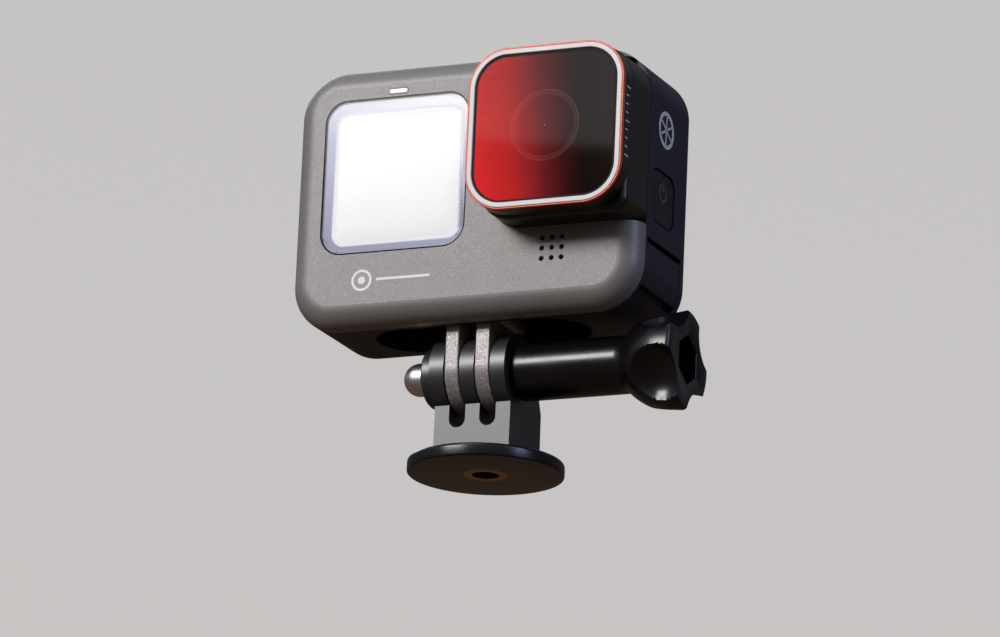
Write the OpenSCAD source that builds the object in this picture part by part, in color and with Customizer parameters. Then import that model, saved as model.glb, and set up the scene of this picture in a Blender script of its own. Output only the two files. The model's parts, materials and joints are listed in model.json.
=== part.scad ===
// Action camera with a square screw-on filter, on a three-prong tripod adapter.
// Frame: origin at the mouth of the tripod socket, +Z up, the lens looks along -Y.
// Millimetres throughout.

/* [Body] */
// Width of the camera body
body_w = 71; // [68:0.5:90]
// Height of the camera body
body_h = 50.8; // [50:0.2:64]
// Depth of the camera body
body_d = 25; // [24:0.5:32]
// Corner radius of the body, seen from the front
body_corner_r = 9; // [8:0.5:10]
// Rounding of the front cover's edge
front_edge_r = 4; // [2:0.1:4.1]
// Rounding of the rear cover's edge
rear_edge_r = 2.8; // [1:0.1:2.9]
// Wall thickness of the housing and its covers
wall = 1.8; // [1.6:0.1:2.2]
// How far the front cover reaches back along the sides
cover_depth = 4.2; // [4.1:0.1:4.6]
// How far the rear cover reaches forward along the sides
rear_depth = 3; // [2.9:0.1:4]
// How far the body sits to the right of the fingers' middle
body_offset_x = 0.5; // [0:0.1:1]

/* [Front window] */
// Width of the front window
window_w = 29.8; // [26:0.2:30.4]
// Height of the front window
window_h = 30.5; // [26:0.5:32]
// Corner radius of the front window
window_r = 4.5; // [2:0.5:6]
// Distance from the body's left side to the window
window_from_left = 6.1; // [5.5:0.1:7]
// Distance from the body's top to the window
window_from_top = 6.4; // [5.5:0.1:8]
// Side of the square front screen
screen_size = 25.3; // [20:0.1:25.4]
// How far the screen sits right of the window's middle
screen_shift_x = 0.55; // [0:0.05:0.8]
// How far the screen sits below the window's middle
screen_drop = 0.3; // [0:0.05:0.6]
// Thickness of the window's cover glass
window_glass_t = 0.4; // [0.4:0.1:0.8]
// Thickness of the printed bezel behind the glass
bezel_t = 0.4; // [0.2:0.1:0.5]
// Thickness of the front screen
screen_t = 1.6; // [1:0.1:2]
// Length of the status light
light_l = 4.1; // [2:0.1:6]
// Height of the status light
light_h = 1.2; // [0.8:0.1:1.6]

/* [Microphone] */
// Holes along each side of the microphone's square
mic_count = 3; // [2:1:4]
// Distance between microphone holes
mic_pitch = 2; // [1.6:0.1:2.4]
// Diameter of a microphone hole
mic_hole_d = 1; // [0.6:0.1:1.2]

/* [Lens] */
// Distance from the body's right side to the lens axis
lens_from_right = 15.1; // [15.1:0.1:16]
// Distance from the body's top to the lens axis
lens_from_top = 18.3; // [18:0.1:22]
// Half the width of the lens boss, to its left side
boss_half_w = 15.1; // [14:0.1:15.3]
// Height of the lens boss
boss_h = 32.4; // [30:0.2:33]
// Radius of the boss's free corners
boss_corner_r = 7; // [4:0.5:8]
// Radius of the boss's lower right corner
boss_small_r = 2.5; // [2:0.1:3]
// Rounding of the boss's front edge
boss_edge_r = 1.2; // [0.5:0.1:1.6]
// How far the boss stands out of the front cover
boss_out = 5.9; // [4:0.1:7]
// Radius of the collar that the filter turns on
collar_r = 11; // [10.5:0.1:12]
// Radius of the front lens
lens_r = 6.4; // [5:0.1:6.8]
// Length of the lens barrel
barrel_l = 15.6; // [13:0.2:16]

/* [Filter] */
// Side of the square filter
filter_size = 31.4; // [30:0.2:32]
// Corner radius of the filter
filter_r = 7.6; // [5:0.1:9]
// Depth of the whole filter
filter_d = 4.2; // [4:0.1:6]
// Width of the coloured line round the filter's rim
accent_w = 0.35; // [0.3:0.05:0.7]
// Width of the pale band inside the line
trim_w = 0.95; // [0.5:0.05:1]
// Height of the band and the line
trim_t = 0.8; // [0.5:0.1:1]
// Width of the dark gasket round the filter glass
gasket_w = 0.45; // [0.2:0.05:0.5]
// Thickness of the filter glass
filter_glass_t = 1.6; // [1:0.1:1.6]

/* [Buttons] */
// Width of the side button
mode_w = 10.3; // [8:0.1:11]
// Height of the side button
mode_h = 10; // [8:0.1:12]
// Corner radius of the side button
mode_r = 2.2; // [1:0.1:3]
// Travel of the side button
mode_travel = 0.5; // [0.3:0.1:0.5]
// Length of the top button
shutter_l = 12.4; // [9:0.1:14]
// Width of the top button
shutter_w = 7; // [5:0.1:8]
// Travel of the top button
shutter_travel = 0.8; // [0.4:0.1:0.8]
// Width of the coloured ring round the top button
shutter_ring_w = 1; // [0.6:0.1:1.4]

/* [Battery door] */
// Width of the door, front to back
door_w = 15; // [13:0.2:15]
// Thickness of the door
door_t = 1.6; // [1.4:0.1:1.7]
// Radius of the door's hinge barrel
door_barrel_r = 1.2; // [1.1:0.05:1.3]
// Radius of the door's hinge pin
door_pin_r = 0.5; // [0.4:0.05:0.6]
// Travel of the door latch
latch_travel = 1.6; // [1:0.1:1.6]

/* [Battery] */
// Length of the battery, into the body
battery_l = 38; // [30:0.5:38]
// Thickness of the battery
battery_t = 10.8; // [8:0.2:11]

/* [Fingers] */
// Thickness of a mounting finger
finger_t = 2.8; // [2.6:0.1:2.9]
// Distance between the middles of the two fingers
finger_pitch = 6.2; // [6:0.1:6.4]
// Radius of the round ends of fingers and prongs
finger_r = 7.4; // [6.8:0.1:7.5]
// Height of the body's underside above the pivot
pivot_drop = 7.83; // [7.8:0.01:9]
// How far the pivot lies behind the body's middle plane
pivot_back = 0.6; // [0:0.1:1]
// Length of the recess that the fingers fold into
recess_l = 43; // [38:0.5:46]
// Depth of that recess
recess_depth = 5.5; // [5.2:0.1:6]
// Radius of a finger's hinge knuckle
knuckle_r = 1.9; // [1.6:0.1:2]
// Radius of a finger's hinge pin
finger_pin_r = 0.7; // [0.5:0.05:0.9]

/* [Adapter] */
// Height of the pivot above the underside of the disc
pivot_h = 18.42; // [17.5:0.1:22]
// How far the pivot lies in front of the socket's axis
pivot_front = 3.56; // [2:0.1:4]
// Width of the three prongs together
prongs_w = 15.4; // [15.2:0.1:16]
// Depth of the adapter's block
block_d = 14.5; // [13:0.1:15]
// Height of the bottom of the slots
slot_floor = 7.6; // [7.5:0.1:8.4]
// Radius of the disc
disc_r = 14.8; // [13:0.1:18]
// Thickness of the disc
disc_t = 2.6; // [2:0.1:4]
// Radius of the threaded socket's bore
socket_r = 2.55; // [2.5:0.05:3]
// Length of the threaded socket
socket_l = 6.4; // [5:0.1:6.6]
// Wall of the threaded insert
insert_wall = 1.7; // [1.2:0.1:2]

/* [Thumbscrew] */
// Radius of the clamping screw
screw_r = 2.5; // [2.4:0.05:2.6]
// Radius of the thumbscrew's sleeve
sleeve_r = 5.5; // [5:0.1:6]
// How far inside the body's right side the sleeve flares into the grip
grip_inset = 5.8; // [5:0.1:9]
// Length of the flared grip
grip_l = 11.5; // [10:0.1:13]
// Radius of the grip at its widest
grip_r = 9.7; // [9:0.1:10.5]
// Number of finger scoops round the grip
scoop_count = 4; // [3:1:5]
// Radius of each scoop
scoop_r = 7.5; // [6:0.1:8]
// Width across the flats of the hexagonal recess in the grip
hex_af = 8.4; // [7:0.1:9]
// Depth of that recess
hex_depth = 5.5; // [4:0.1:6]
// Length of the holder for the cap nut
nut_holder_l = 2.6; // [2.4:0.1:4]
// Radius of that holder
nut_holder_r = 5.75; // [5.4:0.05:6.2]
// Width across the flats of the cap nut
nut_af = 8; // [7:0.1:8.6]
// Radius of the cap nut's dome
nut_dome_r = 3.15; // [3:0.05:3.6]
// Length of the neck between the cap nut's hexagon and its dome
nut_neck_l = 2.3; // [1.8:0.1:3]

/* [Clearances] */
// Gap between fixed pieces that fit into each other
seat_gap = 0.05; // [0.02:0.01:0.1]
// Radial running gap of the pivots and of the filter's collar
running_gap = 0.08; // [0.05:0.01:0.1]
// Radial running gap of the small hinge pins
pin_gap = 0.05; // [0.03:0.01:0.08]
// Gap between moving pieces and what is round them
moving_gap = 0.3; // [0.2:0.05:0.4]

/* [Hidden] */
$fn = 64;
hex_to_r = 1 / sqrt(3);

// Reference planes of the body, in the body's own frame
front_y = -body_d / 2;
rear_y = body_d / 2;
side_x = body_w / 2;
mid_z = body_h / 2;
housing_front_y = front_y + cover_depth;
housing_rear_y = rear_y - rear_depth;
housing_mid_y = (housing_front_y + housing_rear_y) / 2;
// Front face of the main board
board_y = housing_mid_y + 5.6;

// Where the body stands, in the part's frame
body_y = -pivot_front - pivot_back;
body_z = pivot_h + pivot_drop;

// Front window
window_x = -side_x + window_from_left + window_w / 2;
window_z = body_h - window_from_top - window_h / 2;
screen_x = window_x + screen_shift_x;
screen_z = window_z - screen_drop;
light_above_window = 1.05;
light_z = window_z + window_h / 2 + light_above_window;
screen_r = 2;

// Lens and filter
lens_x = side_x - lens_from_right;
lens_z = body_h - lens_from_top;
boss_wall = 2.2;
collar_out = 1.7;
collar_wall = 1.8;
barrel_flange_r = collar_r - 0.5;
barrel_wall = 1;
barrel_front = 0.4;
barrel_step = 6;
filter_back = moving_gap;
filter_front = filter_back + filter_d;
filter_floor = 2.6;
accent_size = filter_size - 2 * accent_w;
trim_size = accent_size - 2 * trim_w;
filter_glass_size = trim_size - 2 * gasket_w;

// Microphone
mic_x = lens_x - mic_pitch;
mic_below_boss = 4.35;
mic_z = lens_z - boss_h / 2 - mic_below_boss;
mic_plate = mic_pitch * (mic_count - 1) + 3;

// Side button
mode_y = -0.8;
mode_below_lens = 9.25;
mode_z = lens_z - mode_below_lens;
flange_out = 1;
flange_t = 0.5;
mode_flange_x = side_x - wall - moving_gap - flange_t;
switch_t = 1.5;
mode_switch_x = mode_flange_x - mode_travel - 0.1 - switch_t;
board_t = 1.2;

// Panel low on the right side
panel_bottom = 5;
panel_top = 13.2;
panel_groove = 1;
panel_notch = 1.4;
panel_w = 16;
panel_t = 1.1;
panel_sunk = 0.05;

// Top button
shutter_from_left = 16.5;
shutter_x = -side_x + shutter_from_left;
shutter_proud = 0.4;
shutter_flange_z = body_h - wall - moving_gap - flange_t;
shutter_switch_z = shutter_flange_z - shutter_travel - 0.1 - switch_t;

// Finger recess, centred on the pivot
recess_w = 2 * (finger_r + 0.4);
tray_wall = 1;
tray_top = recess_depth + 1.4;
knuckle_x = finger_pitch / 2 + 0.3;
knuckle_z = recess_depth - knuckle_r - 0.7;
tray_screw_x = 11;
tray_screw_y = 3.6;

// Battery door and what is behind it
door_y = housing_mid_y - 0.1;
door_gap = moving_gap;
barrel_room_r = door_barrel_r + 0.25;
door_hinge_x = -side_x + door_barrel_r;
door_hinge_z = body_corner_r + 1.2;
door_top = body_h - body_corner_r - 0.2;
seal_w = 1.2;
seal_t = 0.6;
latch_w = 7.4;
latch_h = 3.2;
latch_t = 0.7;
latch_back_gap = 0.1;
latch_tongue_w = 3;
latch_tongue = 2.5;
latch_top = door_top - 1.5;
latch_x = -side_x + 0.1;
bay_wall = 0.8;
bay_flange_t = 0.8;
port_window_h = 27;
bay_front_x = -side_x + wall;
bay_rim = 0.7;
bay_rim_h = 1.1;
bay_x = bay_front_x + bay_rim + bay_flange_t;
battery_gap = 0.2;
battery_bottom = door_hinge_z + 0.6;
battery_top = door_top - 0.8;
battery_h = battery_top - battery_bottom;
battery_z = (battery_top + battery_bottom) / 2;
battery_x = -side_x + wall + 1.3;
port_y = board_y - 0.95;
port_depth = 1.6;
battery_y = port_y - seat_gap - bay_wall - battery_gap - battery_t / 2;

// Boards and rear screen
rear_glass_t = 0.7;
rear_ledge = 0.7;
rear_glass_w = body_w - 11;
rear_glass_h = body_h - 10.4;
rear_screen_t = 1.6;
rear_border = 3;
rear_light_x = -rear_glass_w / 2 + 8;
rear_light_z = body_h - 2.9;
rear_light_r = 0.8;
board_h = body_h - 2 * body_corner_r;
spreader_t = 0.8;
spreader_l = body_w - 20;
speaker_r = 6;
speaker_t = 3;

// Fingers, prongs and slots
screw_hole_r = screw_r + running_gap;
slot_w = finger_t + 0.5;
prong_out = prongs_w / 2;
block_rear = block_d / 2;
block_rear_top = 13;
block_front_top = 12;
brace_angle = 24.3;

// Thumbscrew
washer_t = 0.5;
washer_r = 4.6;
sleeve_x = prong_out + 0.1 + washer_t + 0.1;
grip_x = body_offset_x + side_x - grip_inset;
sleeve_l = grip_x - sleeve_x;
grip_end = grip_x + grip_l;
grip_blunt = 1.7;
grip_edge = 0.8;
scoop_back = 3.5;
scoop_out = 3.5;
nut_sunk = 0.8;
nut_holder_edge = 0.4;
nut_seat_x = -(prong_out - nut_sunk);
nut_end_x = -(prong_out + nut_holder_l);
nut_af_gap = 0.1;
screw_start = nut_end_x - 1.4;
screw_head_t = 2.5;

// ---- frames --------------------------------------------------------------

module in_body() { translate([body_offset_x, body_y, body_z]) children(); }
// Origin on the lens axis, in the plane of the boss's front face
module in_lens() { in_body() translate([lens_x, front_y - boss_out, lens_z]) children(); }
// Origin on the pivot's axis, in the middle of the fingers
module in_pivot() { translate([0, -pivot_front, pivot_h]) children(); }

// ---- shared shapes -------------------------------------------------------

// A flat outline in X and Z, made solid from y to y + d
module solid_y(y, d) { translate([0, y + d, 0]) rotate([90, 0, 0]) linear_extrude(d) children(); }
// A flat outline in Y and Z, made solid from x to x + d
module solid_x(x, d) { translate([x, 0, 0]) rotate([90, 0, 90]) linear_extrude(d) children(); }
// A flat outline in X and Y, made solid from z to z + d
module solid_z(z, d) { translate([0, 0, z]) linear_extrude(d) children(); }
module rod_x(x, l, r) { translate([x, 0, 0]) rotate([0, 90, 0]) cylinder(h = l, r = r); }
module rod_y(y, l, r) { translate([0, y, 0]) rotate([-90, 0, 0]) cylinder(h = l, r = r); }
module cone_y(y, l, r1, r2) { translate([0, y, 0]) rotate([-90, 0, 0]) cylinder(h = l, r1 = r1, r2 = r2); }

module rounded_rect(w, h, r) {
  square([w - 2 * r, h], center = true);
  square([w, h - 2 * r], center = true);
  for (sx = [-1, 1], sy = [-1, 1])
    translate([sx * (w / 2 - r), sy * (h / 2 - r)]) circle(r);
}

module rounded_ring(size, r, w) {
  difference() {
    rounded_rect(size, size, r);
    rounded_rect(size - 2 * w, size - 2 * w, r - w);
  }
}

module stadium(l, w) {
  square([l - w, w], center = true);
  for (s = [-1, 1]) translate([s * (l - w) / 2, 0]) circle(w / 2);
}

// Cross-section of a slab's rim: r wide, d deep, with its outer front edge rounded by f
module rim_profile(r, d, f) {
  difference() {
    square([r, d]);
    difference() {
      translate([r - f, -1]) square([f + 1, f + 1]);
      translate([r - f, f]) circle(f);
    }
  }
}

// A quarter of a slab, from its middle to the corner at +X and +Y
module quarter_slab(w, h, r, d, f) {
  cube([w - r, h - r, d]);
  translate([w - r, h - r, 0]) {
    rotate_extrude(angle = 90) rim_profile(r, d, f);
    rotate([90, 0, 0]) linear_extrude(h - r) rim_profile(r, d, f);
  }
  translate([0, h - r, 0]) rotate([90, 0, 90]) linear_extrude(w - r) rim_profile(r, d, f);
}

// A slab with its front face at y = 0 and its front edge rounded by f.
// left and right are its reach each way; radii are upper right, lower right, lower left, upper left.
module slab(left, right, h, radii, d, f) {
  rotate([-90, 0, 0]) {
    mirror([0, 1, 0]) quarter_slab(right, h / 2, radii[0], d, f);
    quarter_slab(right, h / 2, radii[1], d, f);
    mirror([1, 0, 0]) quarter_slab(left, h / 2, radii[2], d, f);
    rotate(180) quarter_slab(left, h / 2, radii[3], d, f);
  }
}

module body_slab(d, f) {
  slab(side_x, side_x, body_h, [for (i = [0:3]) body_corner_r], d, f);
}

// The body's outline, moved inwards by a distance
module body_outline(inset) {
  translate([0, mid_z])
    rounded_rect(body_w - 2 * inset, body_h - 2 * inset, body_corner_r - inset);
}

module screw_hole() { rod_x(-60, 120, screw_hole_r); }

// ---- adapter -------------------------------------------------------------

module adapter_profile() {
  translate([-pivot_front, pivot_h]) circle(finger_r);
  polygon([
    [-block_d / 2, disc_t], [block_rear, disc_t], [block_rear - 0.3, block_rear_top],
    [-pivot_front + finger_r * cos(brace_angle), pivot_h + finger_r * sin(brace_angle)],
    [-pivot_front, pivot_h], [-block_d / 2, block_front_top]
  ]);
}

module slot() {
  slot_r = slot_w / 2;
  solid_y(-30, 60) {
    translate([-slot_r, slot_floor + slot_r]) square([slot_w, 40]);
    translate([0, slot_floor + slot_r]) circle(slot_r);
  }
}

module adapter() {
  color("#17181b") difference() {
    union() {
      solid_x(-prong_out, prongs_w) adapter_profile();
      rotate_extrude() polygon([
        [0, 0], [disc_r - 0.4, 0], [disc_r, 0.4], [disc_r, disc_t - 0.7], [disc_r - 0.7, disc_t], [0, disc_t]
      ]);
      in_pivot() {
        rod_x(nut_end_x + nut_holder_edge, nut_holder_l, nut_holder_r);
        translate([nut_end_x + nut_holder_edge, 0, 0]) rotate([0, -90, 0])
          cylinder(h = nut_holder_edge, r1 = nut_holder_r, r2 = nut_holder_r - nut_holder_edge);
      }
    }
    for (s = [-1, 1]) translate([s * finger_pitch / 2, 0, 0]) slot();
    in_pivot() {
      screw_hole();
      translate([nut_seat_x, 0, 0]) rotate([0, -90, 0])
        cylinder(h = 20, r = (nut_af + nut_af_gap) * hex_to_r, $fn = 6);
    }
    translate([0, 0, -1]) cylinder(h = socket_l + 1, r = socket_r + insert_wall + seat_gap);
  }
}

module threaded_insert() {
  color("#b0894a") difference() {
    cylinder(h = socket_l - seat_gap, r = socket_r + insert_wall);
    translate([0, 0, -1]) cylinder(h = socket_l + 2, r = socket_r);
  }
}

module cap_nut() {
  color("#c9c9cc") in_pivot() difference() {
    union() {
      translate([nut_seat_x, 0, 0]) rotate([0, -90, 0])
        cylinder(h = nut_seat_x - nut_end_x, r = nut_af * hex_to_r, $fn = 6);
      rod_x(nut_end_x - nut_neck_l, nut_neck_l + 0.5, nut_dome_r);
      translate([nut_end_x - nut_neck_l, 0, 0]) sphere(nut_dome_r);
    }
    rod_x(screw_start - 0.3, nut_seat_x - screw_start + 1.3, screw_hole_r);
  }
}

// ---- fingers -------------------------------------------------------------

// s is -1 for the left finger and 1 for the right
module finger(s) {
  color("#8a8a8c") difference() {
    union() {
      in_pivot() solid_x(s * finger_pitch / 2 - finger_t / 2, finger_t) {
        circle(finger_r);
        translate([-finger_r, 0]) square([2 * finger_r, pivot_drop + knuckle_z]);
      }
      in_pivot() translate([s * knuckle_x, 0, pivot_drop + knuckle_z]) rod_y(-finger_r, 2 * finger_r, knuckle_r);
    }
    in_pivot() {
      screw_hole();
      translate([s * knuckle_x, 0, pivot_drop + knuckle_z]) rod_y(-20, 40, finger_pin_r + pin_gap);
    }
  }
}

module finger_pin(s) {
  pin_l = recess_w + 2 * tray_wall - 0.2;
  color("#b9b9bc") in_pivot() translate([s * knuckle_x, 0, pivot_drop + knuckle_z]) rod_y(-pin_l / 2, pin_l, finger_pin_r);
}

module finger_tray() {
  color("#141417") in_pivot() translate([0, 0, pivot_drop]) difference() {
    solid_z(wall, tray_top - wall) stadium(recess_l + 2 * tray_wall, recess_w + 2 * tray_wall);
    solid_z(0, recess_depth) stadium(recess_l, recess_w);
    for (s = [-1, 1]) {
      translate([s * knuckle_x, 0, knuckle_z]) rod_y(-20, 40, finger_pin_r + seat_gap);
      for (t = [-1, 1]) translate([s * tray_screw_x, t * tray_screw_y, 0]) {
        cylinder(h = recess_depth + 0.8 + seat_gap, r = 1.3 + seat_gap);
        cylinder(h = 20, r = 0.8 + seat_gap);
      }
    }
  }
}

module tray_screws() {
  color("#9a9a9e") in_pivot() translate([0, 0, pivot_drop])
    for (s = [-1, 1], t = [-1, 1]) translate([s * tray_screw_x, t * tray_screw_y, recess_depth + 0.1]) difference() {
      union() {
        cylinder(h = 0.7, r = 1.3);
        cylinder(h = 2.6, r = 0.8);
      }
      translate([0, 0, -1]) cylinder(h = 1.4, r = 0.6, $fn = 6);
    }
}

// ---- body shells ---------------------------------------------------------

// The boss's outline seen from the front, about the lens axis, open past the body's right side
module boss_opening() {
  rounded_rect(2 * (boss_half_w + seat_gap), boss_h + 2 * seat_gap, boss_corner_r);
  translate([0, -boss_h / 2 - seat_gap]) square([lens_from_right + 5, boss_h + 2 * seat_gap]);
}

module front_cover() {
  color("#8f8b86") in_body() difference() {
    translate([0, front_y, mid_z]) body_slab(cover_depth, front_edge_r);
    solid_y(front_y + wall, cover_depth) body_outline(wall);
    solid_y(front_y - 1, 1 + window_glass_t + bezel_t)
      translate([window_x, window_z]) rounded_rect(window_w, window_h, window_r);
    solid_y(front_y - 1, 10)
      translate([screen_x, screen_z]) rounded_rect(screen_size + 2 * seat_gap, screen_size + 2 * seat_gap, screen_r);
    solid_y(front_y - 1, 10)
      translate([window_x, light_z]) stadium(light_l + 2 * seat_gap, light_h + 2 * seat_gap);
    for (i = [0:mic_count - 1], j = [0:mic_count - 1])
      translate([mic_x + (i - (mic_count - 1) / 2) * mic_pitch, front_y - 1, mic_z + (j - (mic_count - 1) / 2) * mic_pitch])
        rod_y(0, 5, mic_hole_d / 2);
    solid_y(front_y - 1, 20) translate([lens_x, lens_z]) boss_opening();
  }
}

module window_glass() {
  color("#dfe2ea") in_body() solid_y(front_y + 0.1, window_glass_t - 0.1)
    translate([window_x, window_z])
      rounded_rect(window_w - 2 * seat_gap, window_h - 2 * seat_gap, window_r - seat_gap);
}

module window_bezel() {
  color("#b0b2c0") in_body() solid_y(front_y + window_glass_t, bezel_t) difference() {
    translate([window_x, window_z])
      rounded_rect(window_w - 2 * seat_gap, window_h - 2 * seat_gap, window_r - seat_gap);
    translate([screen_x, screen_z]) rounded_rect(screen_size, screen_size, screen_r);
  }
}

module front_screen() {
  color("#f5f5f5") in_body() solid_y(front_y + window_glass_t, screen_t)
    translate([screen_x, screen_z]) rounded_rect(screen_size - 2 * seat_gap, screen_size - 2 * seat_gap, screen_r - seat_gap);
}

module status_light() {
  color("#ffffff") in_body() solid_y(front_y - 0.05, wall + 0.4)
    translate([window_x, light_z]) stadium(light_l, light_h);
}

module microphone() {
  color("#101012") in_body() translate([mic_x - mic_plate / 2, front_y + wall, mic_z - mic_plate / 2])
    cube([mic_plate, 1, mic_plate]);
}

// Everything cut out of the housing's right wall for the panel, z0 to z1 high and depth deep
module side_band(z0, z1, inset_out, inset_in) {
  intersection() {
    solid_y(housing_mid_y - panel_w / 2, panel_w) difference() {
      body_outline(inset_out);
      body_outline(inset_in);
    }
    translate([side_x - 12, -50, z0]) cube([20, 100, z1 - z0]);
  }
}

module door_opening() {
  translate([0, door_y, 0]) {
    solid_x(-side_x - 1, wall + 1.2) {
      translate([-door_w / 2 - door_gap, door_hinge_z])
        square([door_w + 2 * door_gap, door_top + door_gap - door_hinge_z]);
      translate([-latch_tongue_w / 2 - door_gap, door_top]) square([latch_tongue_w + 2 * door_gap, 1.4]);
    }
    translate([door_hinge_x, -door_w / 2 - door_gap, door_hinge_z]) {
      rod_y(0, door_w + 2 * door_gap, barrel_room_r);
      // room below the barrel for the edge of the open door
      translate([-door_barrel_r - 1, 0, -barrel_room_r]) cube([door_barrel_r + 1, door_w + 2 * door_gap, barrel_room_r]);
    }
  }
}

module main_housing() {
  depth = housing_rear_y - housing_front_y;
  color("#1b1e2b") in_body() difference() {
    solid_y(housing_front_y, depth) difference() {
      body_outline(0);
      body_outline(wall);
    }
    translate([-body_offset_x, pivot_back, 0]) solid_z(-1, wall + 2) stadium(recess_l, recess_w);
    door_opening();
    translate([door_hinge_x, door_y, door_hinge_z]) rod_y(-door_w / 2 - 0.9, door_w + 1.8, door_pin_r + seat_gap);
    solid_x(side_x - wall - 1, wall + 2) translate([mode_y, mode_z])
      rounded_rect(mode_w + 2 * moving_gap, mode_h + 2 * moving_gap, mode_r + moving_gap);
    side_band(panel_bottom - panel_notch, panel_top + panel_groove, -1, panel_t + panel_sunk + seat_gap);
    solid_z(body_h - wall - 1, wall + 2) translate([shutter_x, housing_mid_y])
      stadium(shutter_l + 2 * moving_gap + 2 * shutter_ring_w, shutter_w + 2 * moving_gap + 2 * shutter_ring_w);
  }
}

module drain_panel() {
  color("#1a1e30") in_body() side_band(panel_bottom, panel_top, panel_sunk, panel_t + panel_sunk);
}

module rear_cover() {
  color("#1b1e2b") in_body() difference() {
    translate([0, rear_y, mid_z]) mirror([0, 1, 0]) body_slab(rear_depth, rear_edge_r);
    solid_y(housing_rear_y - 1, rear_depth + 1 - rear_glass_t - rear_ledge) body_outline(wall);
    solid_y(rear_y - rear_glass_t, 2) translate([0, mid_z]) rounded_rect(rear_glass_w, rear_glass_h, 5);
    solid_y(0, 20) translate([0, mid_z])
      rounded_rect(rear_glass_w - 2 * rear_border, rear_glass_h - 2 * rear_border, 2.5);
    translate([rear_light_x, 0, rear_light_z]) rod_y(0, 20, rear_light_r + seat_gap);
  }
}

module rear_glass() {
  color("#08090b") in_body() solid_y(rear_y - rear_glass_t, rear_glass_t - 0.1) translate([0, mid_z])
    rounded_rect(rear_glass_w - 2 * seat_gap, rear_glass_h - 2 * seat_gap, 5 - seat_gap);
}

module rear_screen() {
  color("#20242c") in_body() solid_y(rear_y - rear_glass_t - rear_screen_t, rear_screen_t) translate([0, mid_z])
    rounded_rect(rear_glass_w - 2 * rear_border - 0.1, rear_glass_h - 2 * rear_border - 0.1, 2.4);
}

module rear_light() {
  color("#ffffff") in_body() translate([rear_light_x, 0, rear_light_z])
    rod_y(rear_y - 2.2, 2, rear_light_r);
}

// ---- lens ----------------------------------------------------------------

module lens_boss() {
  depth = boss_out + cover_depth;
  color("#0c0c0e") in_lens() difference() {
    slab(boss_half_w, lens_from_right, boss_h,
      [boss_corner_r, boss_small_r, boss_corner_r, boss_corner_r], depth, boss_edge_r);
    solid_y(boss_wall, depth)
      rounded_rect(2 * (boss_half_w - wall), boss_h - 2 * wall, boss_corner_r - wall);
    rod_y(-1, 10, collar_r + seat_gap);
  }
}

module lens_collar() {
  color("#101012") in_lens() difference() {
    rod_y(-collar_out, collar_out + boss_wall, collar_r);
    rod_y(-collar_out - 1, 20, collar_r - collar_wall);
  }
}

module lens_barrel() {
  front_r = collar_r - collar_wall - seat_gap;
  inner_r = lens_r + seat_gap;
  color("#17171a") in_lens() difference() {
    union() {
      rod_y(barrel_front, barrel_step, front_r);
      rod_y(boss_wall + 0.1, 1, barrel_flange_r);
      rod_y(barrel_front, barrel_l, inner_r + barrel_wall);
    }
    rod_y(-1, barrel_l + 3, inner_r);
  }
}

module lens_ring() {
  color("#3a3a3e") in_lens() difference() {
    rod_y(-0.6, 1, lens_r + 0.8);
    rod_y(-2, 4, lens_r + seat_gap);
  }
}

module front_lens() {
  dome_r = 16;
  color("#14161c") in_lens() intersection() {
    rod_y(-1, 3, lens_r);
    translate([0, dome_r - 0.9, 0]) sphere(dome_r, $fn = 128);
  }
}

module inner_lens() {
  dome_r = 12;
  color("#1a1f28") in_lens() intersection() {
    rod_y(6, 3, lens_r);
    translate([0, dome_r + 6, 0]) sphere(dome_r, $fn = 128);
  }
}

module sensor_board() {
  size = 18;
  color("#1f4a2c") in_lens() translate([-size / 2, barrel_front + barrel_l, -size / 2]) cube([size, board_t, size]);
}

module image_sensor() {
  color("#3b3f52") in_lens() translate([-4, barrel_front + barrel_l - 0.8, -3]) cube([8, 0.8, 6]);
}

// ---- filter --------------------------------------------------------------

function inset_r(size) = filter_r - (filter_size - size) / 2;

module filter_frame() {
  color("#0d0d0f") in_lens() difference() {
    solid_y(-filter_front + trim_t, filter_d - trim_t) rounded_rect(filter_size, filter_size, filter_r);
    rod_y(-10, 20, collar_r + running_gap);
    solid_y(-filter_front - 1, 1 + filter_front - filter_floor) rounded_rect(trim_size, trim_size, inset_r(trim_size));
  }
}

module filter_accent() {
  color("#e0552a") in_lens() solid_y(-filter_front + 0.1, trim_t - 0.1)
    rounded_ring(filter_size, filter_r, accent_w);
}

module filter_trim() {
  color("#e6e6e2") in_lens() solid_y(-filter_front, trim_t)
    rounded_ring(accent_size, inset_r(accent_size), trim_w);
}

module filter_gasket() {
  color("#050505") in_lens() solid_y(-filter_front + 0.25, filter_front - 0.25 - filter_floor)
    rounded_ring(trim_size, inset_r(trim_size), gasket_w);
}

module filter_glass() {
  size = filter_glass_size - 2 * seat_gap;
  color("#a81c22") in_lens() solid_y(-filter_floor - filter_glass_t, filter_glass_t)
    rounded_rect(size, size, inset_r(size));
}

// ---- buttons -------------------------------------------------------------

module mode_button() {
  color("#16181f") in_body() translate([0, mode_y, mode_z]) {
    solid_x(mode_flange_x, flange_t) rounded_rect(mode_w + 2 * flange_out, mode_h + 2 * flange_out, mode_r + flange_out);
    solid_x(mode_flange_x, side_x - 0.15 - mode_flange_x) rounded_rect(mode_w, mode_h, mode_r);
  }
}

module mode_switch() {
  color("#c0c0c4") in_body() translate([mode_switch_x, mode_y - 2.5, mode_z - 2.5]) cube([switch_t, 5, 5]);
}

module button_board() {
  color("#1f4a2c") in_body() translate([mode_switch_x - 1, mode_y - 4, mode_z - 7])
    cube([1, board_y - mode_y + 4, 14]);
}

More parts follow.
